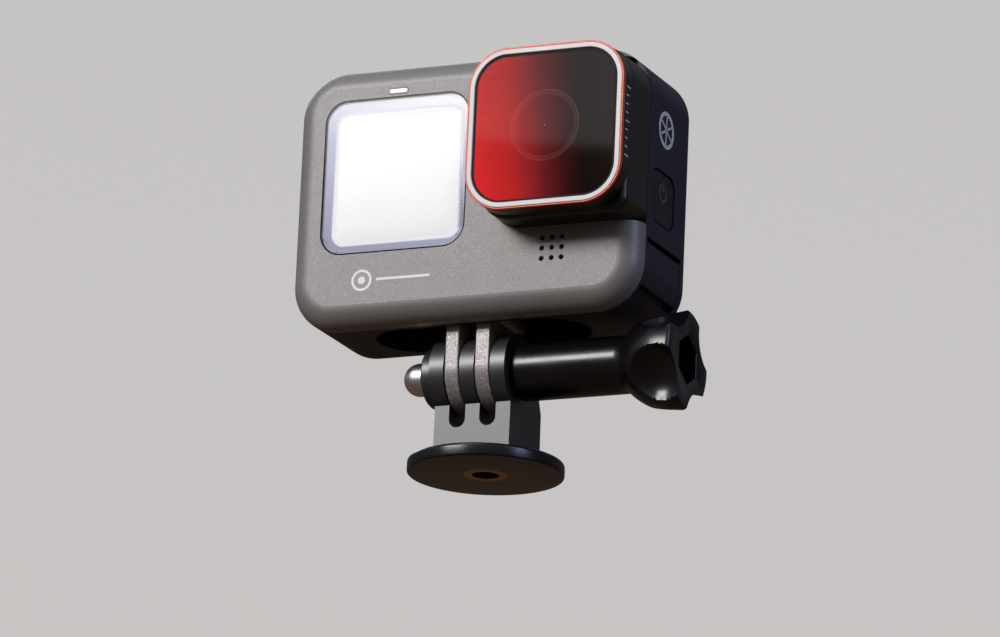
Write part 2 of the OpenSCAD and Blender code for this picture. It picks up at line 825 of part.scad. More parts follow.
module shutter_button() {
  color("#8f8b86") in_body() translate([shutter_x, housing_mid_y, 0]) {
    solid_z(shutter_flange_z, flange_t) stadium(shutter_l + 2 * flange_out, shutter_w + 2 * flange_out);
    solid_z(shutter_flange_z, body_h + shutter_proud - shutter_flange_z) stadium(shutter_l, shutter_w);
  }
}

module shutter_ring() {
  inner = moving_gap;
  outer = moving_gap + shutter_ring_w - seat_gap;
  color("#b3242b") in_body() translate([shutter_x, housing_mid_y, 0]) solid_z(body_h - wall, wall + 0.05) difference() {
    stadium(shutter_l + 2 * outer, shutter_w + 2 * outer);
    stadium(shutter_l + 2 * inner, shutter_w + 2 * inner);
  }
}

module shutter_switch() {
  color("#c0c0c4") in_body() translate([shutter_x - 2.5, housing_mid_y - 2.5, shutter_switch_z]) cube([5, 5, switch_t]);
}

// ---- battery door --------------------------------------------------------

module battery_door() {
  color("#1b1e2b") in_body() translate([0, door_y, 0]) difference() {
    union() {
      solid_x(-side_x, door_t) translate([-door_w / 2, door_hinge_z]) square([door_w, door_top - door_hinge_z]);
      translate([door_hinge_x, 0, door_hinge_z]) rod_y(-door_w / 2, door_w, door_barrel_r);
    }
    translate([door_hinge_x, 0, door_hinge_z]) rod_y(-20, 40, door_pin_r + pin_gap);
    translate([-side_x - 1, -latch_w / 2 - moving_gap, latch_top - latch_h - latch_travel - moving_gap])
      cube([1 + 0.1 + latch_t + latch_back_gap, latch_w + 2 * moving_gap, latch_h + latch_travel + 2 * moving_gap]);
    translate([-side_x - 1, -latch_tongue_w / 2 - moving_gap, latch_top])
      cube([1 + 0.1 + latch_t + latch_back_gap, latch_tongue_w + 2 * moving_gap, 20]);
  }
}

module door_seal() {
  low = door_hinge_z + 3.2;
  high = door_top - 1.2;
  w = door_w - 1.6;
  color("#d8d8dc") in_body() translate([0, door_y, (low + high) / 2]) solid_x(-side_x + door_t, seal_t) difference() {
    rounded_rect(w, high - low, 2);
    rounded_rect(w - 2 * seal_w, high - low - 2 * seal_w, 0.8);
  }
}

module door_pin() {
  color("#b9b9bc") in_body() translate([door_hinge_x, door_y, door_hinge_z])
    rod_y(-door_w / 2 - 0.85, door_w + 1.7, door_pin_r);
}

module door_latch() {
  color("#2a2d38") in_body() translate([latch_x, door_y, 0]) {
    translate([0, -latch_w / 2, latch_top - latch_h]) difference() {
      cube([latch_t, latch_w, latch_h]);
      for (i = [1:3]) translate([-1, 1, i * latch_h / 4 - 0.15]) cube([1.25, latch_w - 2, 0.3]);
    }
    translate([0, -latch_tongue_w / 2, latch_top]) cube([latch_t, latch_tongue_w, latch_tongue]);
  }
}

// ---- inside --------------------------------------------------------------

module battery_bay() {
  tube_w = battery_t + 2 * battery_gap;
  tube_h = battery_h + 2 * battery_gap;
  opening_w = door_w + 2 * door_gap;
  port_w = door_y + opening_w / 2 - port_y;
  post_z = battery_z + tube_h / 2 + bay_wall;
  color("#222226") in_body() {
    difference() {
      union() {
        solid_x(bay_front_x, bay_x - bay_front_x) translate([door_y, battery_z])
          square([opening_w + 2 * bay_wall, battery_h + 2 * bay_rim_h], center = true);
        solid_x(bay_x, battery_x - bay_x + battery_l + battery_gap + bay_wall) translate([battery_y, battery_z])
          square([tube_w + 2 * bay_wall, tube_h + 2 * bay_wall], center = true);
      }
      // room for the closed door and its seal, in front of the flange
      solid_x(bay_front_x - 1, 1 + bay_rim) translate([door_y, battery_z])
        square([opening_w, battery_h + bay_rim_h], center = true);
      solid_x(bay_front_x - 1, 1 + battery_x - bay_front_x + battery_l + battery_gap)
        translate([battery_y, battery_z]) square([tube_w, tube_h], center = true);
      solid_x(bay_front_x - 1, 4) translate([port_y - seat_gap, battery_z - port_window_h / 2])
        square([port_w, port_window_h]);
      translate([door_hinge_x, door_y, door_hinge_z])
        rod_y(-door_w / 2 - 2, door_w + 4, door_barrel_r + moving_gap);
    }
    translate([shutter_x - 3, battery_y - 3, post_z]) cube([6, 6, shutter_switch_z - post_z]);
  }
}

module battery() {
  color("#4a4d55") in_body() translate([battery_x, battery_y, battery_z])
    solid_x(0, battery_l) rounded_rect(battery_t, battery_h, 1.5);
}

module card_reader() {
  color("#a9a9ad") in_body() translate([bay_x, port_y, battery_z + 1]) difference() {
    cube([16, port_depth, 12.4]);
    translate([-1, 0.4, 0.6]) cube([16.5, 0.8, 11.2]);
  }
}

module memory_card() {
  color("#141416") in_body() translate([bay_x + 0.3, port_y + 0.45, battery_z + 1.1 + 0.6]) cube([15, 0.7, 11]);
}

module charging_port() {
  color("#b4b4b8") in_body() translate([bay_x, port_y + port_depth, battery_z - 6.5]) solid_x(0, 7.3) difference() {
    rounded_rect(3.2, 9, 1.5);
    rounded_rect(2.6, 8.4, 1.2);
  }
}

module main_board() {
  x0 = battery_x + battery_l + 2;
  color("#1f4a2c") in_body() translate([x0, board_y, body_corner_r])
    cube([side_x - wall - 0.3 - x0, board_t, board_h]);
}

module heat_spreader() {
  color("#a8adb3") in_body() translate([side_x - wall - 1 - spreader_l, board_y + board_t, body_corner_r])
    cube([spreader_l, spreader_t, board_h]);
}

module speaker() {
  color("#303034") in_body() translate([lens_x + 2, board_y - speaker_t, body_corner_r + speaker_r])
    rod_y(0, speaker_t, speaker_r);
}

// ---- thumbscrew ----------------------------------------------------------

module screw() {
  color("#b9b9bc") in_pivot() {
    rod_x(screw_start, grip_end - hex_depth - screw_head_t - screw_start, screw_r);
    translate([grip_end - hex_depth - screw_head_t, 0, 0]) rotate([0, 90, 0])
      cylinder(h = screw_head_t, r = (hex_af - 0.1) * hex_to_r, $fn = 6);
  }
}

// Half of the grip's lengthwise section: the sleeve, the rounded bell and the blunt end
module grip_section() {
  bell_rise = grip_r - sleeve_r;
  bell_l = grip_l - grip_blunt;
  bell_r = (bell_l * bell_l + bell_rise * bell_rise) / (2 * bell_rise);
  translate([0, sleeve_x]) square([sleeve_r, sleeve_l + 1]);
  intersection() {
    translate([grip_r - bell_r, grip_x + bell_l]) circle(bell_r);
    translate([0, grip_x]) square([grip_r, bell_l]);
  }
  translate([0, grip_x + bell_l])
    polygon([[0, 0], [grip_r, 0], [grip_r, grip_blunt - grip_edge], [grip_r - grip_edge, grip_blunt], [0, grip_blunt]]);
}

module thumb_grip() {
  color("#131316") in_pivot() difference() {
    rotate([0, 90, 0]) rotate_extrude() grip_section();
    for (i = [0:scoop_count - 1]) rotate([30 + i * 360 / scoop_count, 0, 0])
      translate([grip_end - scoop_back, grip_r + scoop_out, 0]) sphere(scoop_r);
    rod_x(0, grip_end, screw_r + 0.02);
    translate([grip_end - hex_depth - screw_head_t, 0, 0]) rotate([0, 90, 0])
      cylinder(h = hex_depth + screw_head_t + 1, r = hex_af * hex_to_r, $fn = 6);
  }
}

module washer() {
  color("#2b2b2f") in_pivot() difference() {
    rod_x(prong_out + 0.1, washer_t, washer_r);
    rod_x(prong_out - 1, 3, screw_r + 0.05);
  }
}

adapter();
threaded_insert();
cap_nut();
finger(-1);  // finger_left
finger(1);  // finger_right
finger_pin(-1);  // finger_pin_left
finger_pin(1);  // finger_pin_right
finger_tray();
tray_screws();
front_cover();
main_housing();
rear_cover();
window_glass();
window_bezel();
front_screen();
status_light();
microphone();
lens_boss();
lens_collar();
lens_barrel();
lens_ring();
front_lens();
inner_lens();
sensor_board();
image_sensor();
filter_frame();
filter_accent();
filter_trim();
filter_gasket();
filter_glass();
mode_button();
mode_switch();
button_board();
drain_panel();
shutter_button();
shutter_ring();
shutter_switch();
battery_door();
door_seal();
door_pin();
door_latch();
battery_bay();
battery();
card_reader();
memory_card();
charging_port();
main_board();
heat_spreader();
speaker();
rear_screen();
rear_glass();
rear_light();
screw();
thumb_grip();
washer();
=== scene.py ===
import json
import math

import bmesh
import bpy
from bpy.props import FloatProperty, FloatVectorProperty, IntProperty, PointerProperty
from mathutils import Matrix, Vector

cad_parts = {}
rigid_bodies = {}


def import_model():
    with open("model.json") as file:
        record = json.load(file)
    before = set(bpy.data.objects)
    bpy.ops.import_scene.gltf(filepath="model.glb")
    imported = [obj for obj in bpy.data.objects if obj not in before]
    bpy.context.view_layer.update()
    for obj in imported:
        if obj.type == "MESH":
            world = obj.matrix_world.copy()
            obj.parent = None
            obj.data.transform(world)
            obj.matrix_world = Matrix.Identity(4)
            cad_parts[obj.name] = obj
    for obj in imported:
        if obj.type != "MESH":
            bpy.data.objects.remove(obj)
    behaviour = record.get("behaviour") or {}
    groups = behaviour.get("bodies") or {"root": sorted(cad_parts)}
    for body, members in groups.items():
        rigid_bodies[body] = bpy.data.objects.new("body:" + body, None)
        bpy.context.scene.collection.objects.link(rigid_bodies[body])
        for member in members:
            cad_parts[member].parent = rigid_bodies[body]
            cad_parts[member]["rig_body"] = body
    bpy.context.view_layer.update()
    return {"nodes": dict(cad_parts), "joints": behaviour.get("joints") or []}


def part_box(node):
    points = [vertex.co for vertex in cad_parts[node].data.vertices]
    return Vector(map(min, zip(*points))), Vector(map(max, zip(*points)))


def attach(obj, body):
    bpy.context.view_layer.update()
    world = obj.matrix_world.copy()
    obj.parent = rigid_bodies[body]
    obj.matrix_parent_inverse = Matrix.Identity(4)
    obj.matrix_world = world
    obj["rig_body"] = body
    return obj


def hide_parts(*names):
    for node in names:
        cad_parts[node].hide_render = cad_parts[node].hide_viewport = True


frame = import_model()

bl_info = {
    "name": "Action Camera",
    "version": (1, 0, 0),
    "blender": (4, 5, 0),
    "location": "View3D > Sidebar > Action Camera",
    "description": "Finishes and small pieces of an action camera on its tripod adapter",
    "category": "Object",
}

MM = 0.001
NODES = frame["nodes"]
JOINTS = {joint["name"]: joint for joint in frame["joints"]}
# The clamping screw's axis, which the camera tilts about
PIVOT = Vector(JOINTS["camera_tilt"]["pos_m"])
# The filter's turning axis, through the lens
LENS_AXIS = Vector(JOINTS["filter_twist"]["pos_m"])
# Corner radius of the front window
WINDOW_CORNER = 4.45 * MM
# Edges that turn by more than this stay sharp, or are rounded
SHARP = math.radians(35)
# Size of the slow mottling in the moulded and coated surfaces
MOTTLE = 9 * MM


# ---- colours and places ----------------------------------------------------

def linear(hex_colour):
    """An sRGB hex colour as the linear colour that Blender shades with."""
    channels = [int(hex_colour[i:i + 2], 16) / 255 for i in (1, 3, 5)]
    curve = [c / 12.92 if c <= 0.04045 else ((c + 0.055) / 1.055) ** 2.4 for c in channels]
    return (*curve, 1.0)


def middle(node):
    """The middle of a CAD node's box."""
    low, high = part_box(node)
    return (low + high) / 2


def extent(node):
    """The size of a CAD node's box along each axis."""
    low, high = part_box(node)
    return high - low


# ---- sizes and colours that a user would change ------------------------------

class FinishSettings(bpy.types.PropertyGroup):
    """Colours and grain of the camera's finishes"""
    # painted light: the front cover's grey is much lighter than the housing's, for the light that falls on
    # the front
    cover_colour_lit: FloatVectorProperty(
        name="Front Cover", description="Colour of the speckled front cover, lightened as painted light",
        subtype="COLOR", size=4, min=0, max=1, default=linear("#82807e"))
    # painted reflection: the housing's dark colour carries a blue cast for the sky reflected on its shaded
    # sides
    housing_colour_painted_sky: FloatVectorProperty(
        name="Housing", description="Colour of the rubbery housing, with a painted blue sky reflection",
        subtype="COLOR", size=4, min=0, max=1, default=linear("#181d2f"))
    # painted reflection: the filter's red at the left fading to near black at the right stands for what its
    # mirror-like coating reflects
    filter_left_painted_reflection: FloatVectorProperty(
        name="Filter Left", description="Colour of the filter coating, with its painted reflection, at its left edge",
        subtype="COLOR", size=4, min=0, max=1, default=linear("#c92a29"))
    filter_right_painted_reflection: FloatVectorProperty(
        name="Filter Right", description="Colour of the filter coating, with its painted reflection, at its right edge",
        subtype="COLOR", size=4, min=0, max=1, default=linear("#140d0c"))
    accent_colour: FloatVectorProperty(
        name="Rim Line", description="Colour of the line round the filter's rim",
        subtype="COLOR", size=4, min=0, max=1, default=linear("#dd5420"))
    grain: FloatProperty(
        name="Paint Grain", description="Size of the front cover's speckle",
        subtype="DISTANCE", unit="LENGTH", default=0.2 * MM, min=0.05 * MM, max=1 * MM)


class DetailSettings(bpy.types.PropertyGroup):
    """Sizes of the small pieces and rounded edges"""
    edge_round: FloatProperty(
        name="Moulded Edge", description="Rounding of the moulded parts' edges",
        subtype="DISTANCE", unit="LENGTH", default=0.25 * MM, min=0.05 * MM, max=0.6 * MM)
    mark_proud: FloatProperty(
        name="Printed Mark", description="Thickness of the printed marks",
        subtype="DISTANCE", unit="LENGTH", default=0.04 * MM, min=0.01 * MM, max=0.1 * MM)
    tick_count: IntProperty(
        name="Filter Ticks", description="Index ticks on the filter's side",
        default=9, min=3, max=15)
    grip_segments: IntProperty(
        name="Grip Segments", description="Divisions round the thumbscrew's grip",
        default=320, min=96, max=400)


class StageSettings(bpy.types.PropertyGroup):
    """Camera, floor and lights"""
    azimuth: FloatProperty(
        name="Azimuth", description="How far the camera stands to the right of the lens's front",
        subtype="ANGLE", default=math.radians(24.367))
    elevation: FloatProperty(
        name="Elevation", description="How far the camera stands above the object",
        subtype="ANGLE", default=math.radians(-16.112))
    roll: FloatProperty(
        name="Roll", description="How far the camera leans",
        subtype="ANGLE", default=math.radians(2.584))
    distance: FloatProperty(
        name="Distance", description="Distance from the camera to the object",
        subtype="DISTANCE", unit="LENGTH", default=1.3635, min=0.3)
    target: FloatVectorProperty(
        name="Target", description="The point that the camera looks at",
        subtype="TRANSLATION", unit="LENGTH", size=3, default=(0.00208, -0.00123, 0.03008))
    focal_length: FloatProperty(
        name="Focal Length", description="Focal length of the camera, in millimetres",
        default=261.2, min=20)
    floor_drop: FloatProperty(
        name="Floor Drop", description="How far the floor lies below the held-up object",
        subtype="DISTANCE", unit="LENGTH", default=0.6, min=0.4)


# ---- materials ---------------------------------------------------------------

def feed(tree, node, inputs):
    """Sets a node's sockets, each to a value or to another node's output."""
    for key, value in inputs.items():
        if isinstance(value, bpy.types.NodeSocket):
            tree.links.new(value, node.inputs[key])
        else:
            node.inputs[key].default_value = value


def add(tree, kind, inputs=None, output=0, stops=(), **settings):
    """Adds a shader node with its settings and links, and gives one of its outputs.

    The stops are a colour ramp's, as (position, colour).
    """
    node = tree.nodes.new(kind)
    for name, value in settings.items():
        setattr(node, name, value)
    feed(tree, node, inputs or {})
    if stops:
        elements = node.color_ramp.elements
        while len(elements) < len(stops):
            elements.new(0.5)
        for element, (position, colour) in zip(elements, stops):
            element.position = position
            element.color = colour
    return node.outputs[output]


def blank(name, **sockets):
    """A material with only its Principled shader, set to the given socket values."""
    material = bpy.data.materials.new(name)
    material.use_nodes = True
    tree = material.node_tree
    shader = tree.nodes["Principled BSDF"]
    feed(tree, shader, {key.replace("_", " "): value for key, value in sockets.items()})
    return material, tree, shader


def per_metre(size):
    """The texture scale that makes a pattern's features about this large."""
    return 1 / size


def outline_distance(tree, box, radius):
    """How far a point lies outside a rounded rectangle in the XZ plane, in metres; negative inside."""
    low, high = box
    centre, half = (low + high) / 2, (high - low) / 2
    here = add(tree, "ShaderNodeTexCoord", output="Object")
    moved = add(tree, "ShaderNodeVectorMath", {0: here, 1: centre}, operation="SUBTRACT")
    folded = add(tree, "ShaderNodeVectorMath", {0: moved}, operation="ABSOLUTE")
    straight = (half.x - radius, 1, half.z - radius)
    corner = add(tree, "ShaderNodeVectorMath", {0: folded, 1: straight}, operation="SUBTRACT")
    outside = add(tree, "ShaderNodeVectorMath", {0: corner, 1: (0, 0, 0)}, operation="MAXIMUM")
    rounded = add(tree, "ShaderNodeVectorMath", {0: outside}, "Value", operation="LENGTH")
    sideways = add(tree, "ShaderNodeSeparateXYZ", {"Vector": corner}, "X")
    upward = add(tree, "ShaderNodeSeparateXYZ", {"Vector": corner}, "Z")
    deepest = add(tree, "ShaderNodeMath", {0: sideways, 1: upward}, operation="MAXIMUM")
    inside = add(tree, "ShaderNodeMath", {0: deepest, 1: 0.0}, operation="MINIMUM")
    both = add(tree, "ShaderNodeMath", {0: rounded, 1: inside}, operation="ADD")
    return add(tree, "ShaderNodeMath", {0: both, 1: radius}, operation="SUBTRACT")


def lens_distance(tree):
    """How far a point lies from the lens's axis, in metres."""
    here = add(tree, "ShaderNodeTexCoord", output="Object")
    moved = add(tree, "ShaderNodeVectorMath", {0: here, 1: LENS_AXIS}, operation="SUBTRACT")
    flat = add(tree, "ShaderNodeVectorMath", {0: moved, 1: (1, 0, 1)}, operation="MULTIPLY")
    return add(tree, "ShaderNodeVectorMath", {0: flat}, "Value", operation="LENGTH")


def along(tree, axis, low, high):
    """0 at low to 1 at high along one of the object's own axes."""
    here = add(tree, "ShaderNodeTexCoord", output="Object")
    place = add(tree, "ShaderNodeSeparateXYZ", {"Vector": here}, axis)
    return add(tree, "ShaderNodeMapRange", {"Value": place, "From Min": low, "From Max": high})


def shade(colour, factor):
    """A colour made lighter or darker."""
    return (*[min(1, c * factor) for c in colour[:3]], 1)


def grey(level):
    """A linear grey, as the share of one colour that a ramp mixes into another."""
    return (level, level, level, 1)


def grained(name, colour, roughness, grain, depth, mottle=0.06, gloss_change=0.06, **sockets):
    """A moulded or coated surface: fine grain in its relief, faint mottling in its colour and gloss."""
    material, tree, shader = blank(name, **sockets)
    here = add(tree, "ShaderNodeTexCoord", output="Object")
    fine = add(tree, "ShaderNodeTexNoise", {
        "Vector": here, "Scale": per_metre(grain), "Detail": 3, "Roughness": 0.6})
    broad = add(tree, "ShaderNodeTexNoise", {
        "Vector": here, "Scale": per_metre(MOTTLE), "Detail": 4, "Roughness": 0.65})
    tone = add(tree, "ShaderNodeValToRGB", {"Fac": broad}, stops=[
        (0.3, shade(colour, 1 - mottle)), (0.7, shade(colour, 1 + mottle))])
    gloss = add(tree, "ShaderNodeMapRange", {
        "Value": broad, "From Min": 0.3, "From Max": 0.7,
        "To Min": roughness - gloss_change, "To Max": roughness + gloss_change})
    relief = add(tree, "ShaderNodeBump", {"Strength": 1, "Distance": depth, "Height": fine})
    feed(tree, shader, {"Base Color": tone, "Roughness": gloss, "Normal": relief})
    return material


def speckled_paint(settings):
    """Metal-flake paint on moulded ABS: a warm grey, made lighter than the housing as painted light on the
    front, with fine light and dark specks and a satin sheen.
    """
    material, tree, shader = blank("Speckled Satin Paint Painted Light", Metallic=0.15, IOR=1.5)
    colour = settings.cover_colour_lit
    here = add(tree, "ShaderNodeTexCoord", output="Object")
    # the real specks are about 0.1 mm; they are drawn a little coarser so that they show
    specks = add(tree, "ShaderNodeTexNoise", {
        "Vector": here, "Scale": per_metre(settings.grain), "Detail": 2, "Roughness": 0.7})
    tone = add(tree, "ShaderNodeValToRGB", {"Fac": specks}, stops=[
        (0.32, shade(colour, 0.84)), (0.47, shade(colour, 0.98)),
        (0.56, shade(colour, 1.03)), (0.70, shade(colour, 1.22))])
    gloss = add(tree, "ShaderNodeMapRange", {
        "Value": specks, "From Min": 0.35, "From Max": 0.65, "To Min": 0.50, "To Max": 0.36})
    relief = add(tree, "ShaderNodeBump", {"Strength": 1, "Distance": 0.012 * MM, "Height": specks})
    feed(tree, shader, {"Base Color": tone, "Roughness": gloss, "Normal": relief})
    return material


def coated_filter_glass_painted_reflection(settings):
    """Multi-coated optical glass: red at the left fading to near black at the right as a painted reflection,
    over the lens's ring, with painted highlights of that ring and a painted glow.
    """
    # the coating takes away most of the glass's shine
    material, tree, shader = blank(
        "Coated Filter Glass Painted Reflection", Roughness=0.03, IOR=1.5, Specular_IOR_Level=0.02)
    low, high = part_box("filter_glass")
    across = along(tree, "X", low.x, high.x)
    upward = along(tree, "Z", low.z, high.z)
    # the red runs a little further right at the foot than at the top
    lean = add(tree, "ShaderNodeMath", {0: upward, 1: 0.08, 2: across}, operation="MULTIPLY_ADD")
    # painted reflection: the coating's red fades to near black across the glass, for what it reflects
    red, black = settings.filter_left_painted_reflection, settings.filter_right_painted_reflection
    tone = add(tree, "ShaderNodeValToRGB", {"Fac": lean}, stops=[
        (0.02, red), (0.28, shade(red, 0.72)), (0.40, linear("#8a2123")), (0.54, linear("#5a181a")),
        (0.68, linear("#330f11")), (0.80, black), (1.0, shade(black, 1.3))])
    # soft level dark streaks, about 25 mm long and 1.4 mm high, stronger near the top
    long_way, high_way = per_metre(25 * MM), per_metre(10 / 7 * MM)
    here = add(tree, "ShaderNodeTexCoord", output="Object")
    stretched = add(tree, "ShaderNodeMapping", {"Vector": here, "Scale": (long_way, long_way, high_way)})
    streaks = add(tree, "ShaderNodeTexNoise", {"Vector": stretched, "Scale": 1, "Detail": 3})
    dim = add(tree, "ShaderNodeMath", {0: upward, 1: 0.5}, operation="MULTIPLY")
    patch = add(tree, "ShaderNodeMath", {0: streaks, 1: dim}, operation="MULTIPLY")
    streaked = add(tree, "ShaderNodeMix", {"Factor": patch, 6: tone, 7: black}, 2, data_type="RGBA")
    # painted highlights: two thin lighter circles and a lighter dot at the middle, where the front lens lies
    # beneath, as shares of this radius
    outer = 8 * MM
    share = add(tree, "ShaderNodeMapRange", {
        "Value": lens_distance(tree), "From Min": 0, "From Max": outer})
    rings = add(tree, "ShaderNodeValToRGB", {"Fac": share}, stops=[
        (0.0, grey(0.5)), (0.03, grey(0)), (0.74, grey(0)), (0.765, grey(0.06)), (0.79, grey(0.03)),
        (0.83, grey(0.03)), (0.855, grey(0.09)), (0.88, grey(0)), (1.0, grey(0))])
    seen = add(tree, "ShaderNodeMix", {
        "Factor": rings, 6: streaked, 7: linear("#c98a84")}, 2, data_type="RGBA")
    # painted glow: the glass gives out its own colour, though it is no lamp
    feed(tree, shader, {"Base Color": seen, "Emission Color": seen, "Emission Strength": 0.42})
    return material


def printed_bezel_painted_light():
    """Ink printed behind glass: pale lavender grey, with painted light that makes it near white at the top,
    a painted white glow round the screen and a painted glow over all of it.
    """
    material, tree, shader = blank(
        "Printed Bezel Ink Painted Light", Roughness=0.5, IOR=1.5, Specular_IOR_Level=0.08)
    low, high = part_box("window_bezel")
    upward = along(tree, "Z", low.z, high.z)
    across = along(tree, "X", low.x, high.x)
    # painted light: the ink grows lighter towards the top and changes across, where the light falls on it
    painted_light_slant = add(tree, "ShaderNodeMath", {0: across, 1: 0.22, 2: -0.11}, operation="MULTIPLY_ADD")
    height = add(tree, "ShaderNodeMath", {0: upward, 1: painted_light_slant}, operation="ADD")
    tone = add(tree, "ShaderNodeValToRGB", {"Fac": height}, stops=[
        (0.0, linear("#9a9db2")), (0.3, linear("#b0b3c6")),
        (0.7, linear("#cdcfdc")), (1.0, linear("#fafafc"))])
    # painted highlight: a soft white glow in the ink round the screen
    painted_glow_rim = add(tree, "ShaderNodeMapRange", {
        "Value": outline_distance(tree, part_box("front_screen"), 2 * MM),
        "From Min": 0.75 * MM, "From Max": 0.45 * MM})
    ink = add(tree, "ShaderNodeMix", {
        "Factor": painted_glow_rim, 6: tone, 7: linear("#ececf4")}, 2, data_type="RGBA")
    # painted glow: the ink gives out its own colour, though it is no lamp
    feed(tree, shader, {"Base Color": ink, "Emission Color": ink, "Emission Strength": 0.28})
    return material


def lit_screen():
    """A blank lit display: a near-white face, a little lighter towards the top."""
    material, tree, shader = blank(
        "Lit White Display", Roughness=0.5, IOR=1.5, Specular_IOR_Level=0.08)
    low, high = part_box("front_screen")
    tone = add(tree, "ShaderNodeValToRGB", {"Fac": along(tree, "Z", low.z, high.z)}, stops=[
        (0.0, linear("#f1f1f1")), (1.0, linear("#ffffff"))])
    feed(tree, shader, {"Base Color": tone, "Emission Color": tone, "Emission Strength": 0.24})
    return material


def light_window():
    """A white light behind a clear window, with the dark line of its seat."""
    material, tree, shader = blank("White Light Window", Roughness=0.3, IOR=1.5)
    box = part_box("status_light")
    rim = add(tree, "ShaderNodeMapRange", {
        "Value": outline_distance(tree, box, extent("status_light").z / 2),
        "From Min": -0.26 * MM, "From Max": -0.20 * MM})
    tone = add(tree, "ShaderNodeMix", {
        "Factor": rim, 6: linear("#fbfbfb"), 7: linear("#0a0a0a")}, 2, data_type="RGBA")
    feed(tree, shader, {"Base Color": tone, "Emission Color": tone, "Emission Strength": 0.25})
    return material


def dark_screen():
    """A sleeping display behind black glass: near black with the faint grid of its cells."""
    material, tree, shader = blank("Sleeping Display", Roughness=0.25, IOR=1.5)
    # the real cells are about 0.06 mm; the grid is drawn at 0.5 mm so that it shows
    cell = 0.5 * MM
    grid = add(tree, "ShaderNodeTexBrick", {
        "Vector": add(tree, "ShaderNodeTexCoord", output="Object"), "Scale": 1,
        "Color1": linear("#14171d"), "Color2": linear("#181b22"), "Mortar": linear("#0b0d11"),
        "Mortar Size": 0.05 * MM, "Brick Width": cell, "Row Height": cell})
    feed(tree, shader, {"Base Color": grid})
    return material


def clear_glass():
    """Chemically hardened cover glass: clear inside a dark line printed round its edge."""
    material, tree, shader = blank(
        "Hardened Cover Glass", Roughness=0.06, IOR=1.5, Specular_IOR_Level=0.1)
    edge = add(tree, "ShaderNodeMapRange", {
        "Value": outline_distance(tree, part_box("window_glass"), WINDOW_CORNER),
        "From Min": -0.30 * MM, "From Max": -0.22 * MM})
    tone = add(tree, "ShaderNodeMix", {
        "Factor": edge, 6: linear("#f4f5fa"), 7: linear("#0a0a0c")}, 2, data_type="RGBA")
    # the clear part keeps only a trace of white
    seen = add(tree, "ShaderNodeMapRange", {"Value": edge, "To Min": 0.05, "To Max": 1})
    feed(tree, shader, {"Base Color": tone, "Alpha": seen})
    return material


def black_glass():
    """Rear touchscreen glass, printed black on its back: a deep gloss with faint finger marks."""
    material, tree, shader = blank("Black Touch Glass", IOR=1.5)
    here = add(tree, "ShaderNodeTexCoord", output="Object")
    smudge = add(tree, "ShaderNodeTexNoise", {
        "Vector": here, "Scale": per_metre(14 * MM), "Detail": 5, "Roughness": 0.6})
    # the display shows a shade lighter than the printed border
    border = add(tree, "ShaderNodeMapRange", {
        "Value": outline_distance(tree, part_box("rear_screen"), 2.4 * MM),
        "From Min": -0.1 * MM, "From Max": 0.0})
    tone = add(tree, "ShaderNodeMix", {
        "Factor": border, 6: linear("#15171d"), 7: linear("#060607")}, 2, data_type="RGBA")
    gloss = add(tree, "ShaderNodeMapRange", {
        "Value": smudge, "From Min": 0.4, "From Max": 0.75, "To Min": 0.05, "To Max": 0.17})
    feed(tree, shader, {"Base Color": tone, "Roughness": gloss})
    return material


def polished_metal(name, colour, roughness, scratch):
    """Turned and polished metal: a mirror-like surface with fine lathe lines round the screw's axis."""
    material, tree, shader = blank(name, Metallic=1.0)
    here = add(tree, "ShaderNodeTexCoord", output="Object")
    # the texture draws 20 / tau lines in each unit, so they lie about 1.9 scratch sizes apart
    lines = add(tree, "ShaderNodeTexWave", {
        "Vector": here, "Scale": per_metre(scratch) / 6, "Distortion": 0.6, "Detail": 2},
        "Fac", wave_type="BANDS", bands_direction="X")
    tone = add(tree, "ShaderNodeValToRGB", {"Fac": lines}, stops=[
        (0.0, shade(colour, 0.94)), (1.0, colour)])
    gloss = add(tree, "ShaderNodeMapRange", {
        "Value": lines, "To Min": roughness, "To Max": roughness + 0.08})
    relief = add(tree, "ShaderNodeBump", {
        "Strength": 0.4, "Distance": 0.001 * MM, "Height": lines})
    feed(tree, shader, {"Base Color": tone, "Roughness": gloss, "Normal": relief})
    return material


def circuit_board():
    """Solder mask over copper: dark green with paler squared-off traces."""
    material, tree, shader = blank("Green Solder Mask", Roughness=0.35, IOR=1.5)
    here = add(tree, "ShaderNodeTexCoord", output="Object")
    traces = add(tree, "ShaderNodeTexVoronoi", {
        "Vector": here, "Scale": per_metre(1.6 * MM)}, "Distance", distance="MANHATTAN")
    tone = add(tree, "ShaderNodeValToRGB", {"Fac": traces}, stops=[
        (0.0, linear("#0f3a20")), (0.45, linear("#134a28")),
        (0.5, linear("#2c7a48")), (0.56, linear("#134a28"))])
    feed(tree, shader, {"Base Color": tone})
    return material


def lens_coating():
    """Anti-reflective lens coating: near black with a green-violet cast towards the rim."""
    material, tree, shader = blank("Coated Lens Glass", Roughness=0.03, IOR=1.6, Coat_Weight=1)
    out = add(tree, "ShaderNodeMath", {
        0: lens_distance(tree), 1: 2 / extent("front_lens").x}, operation="MULTIPLY")
    tone = add(tree, "ShaderNodeValToRGB", {"Fac": out}, stops=[
        (0.0, linear("#0a1518")), (0.5, linear("#101c2c")),
        (0.8, linear("#231a38")), (1.0, linear("#0a0a10"))])
    feed(tree, shader, {"Base Color": tone})
    return material


# ---- mesh helpers ------------------------------------------------------------

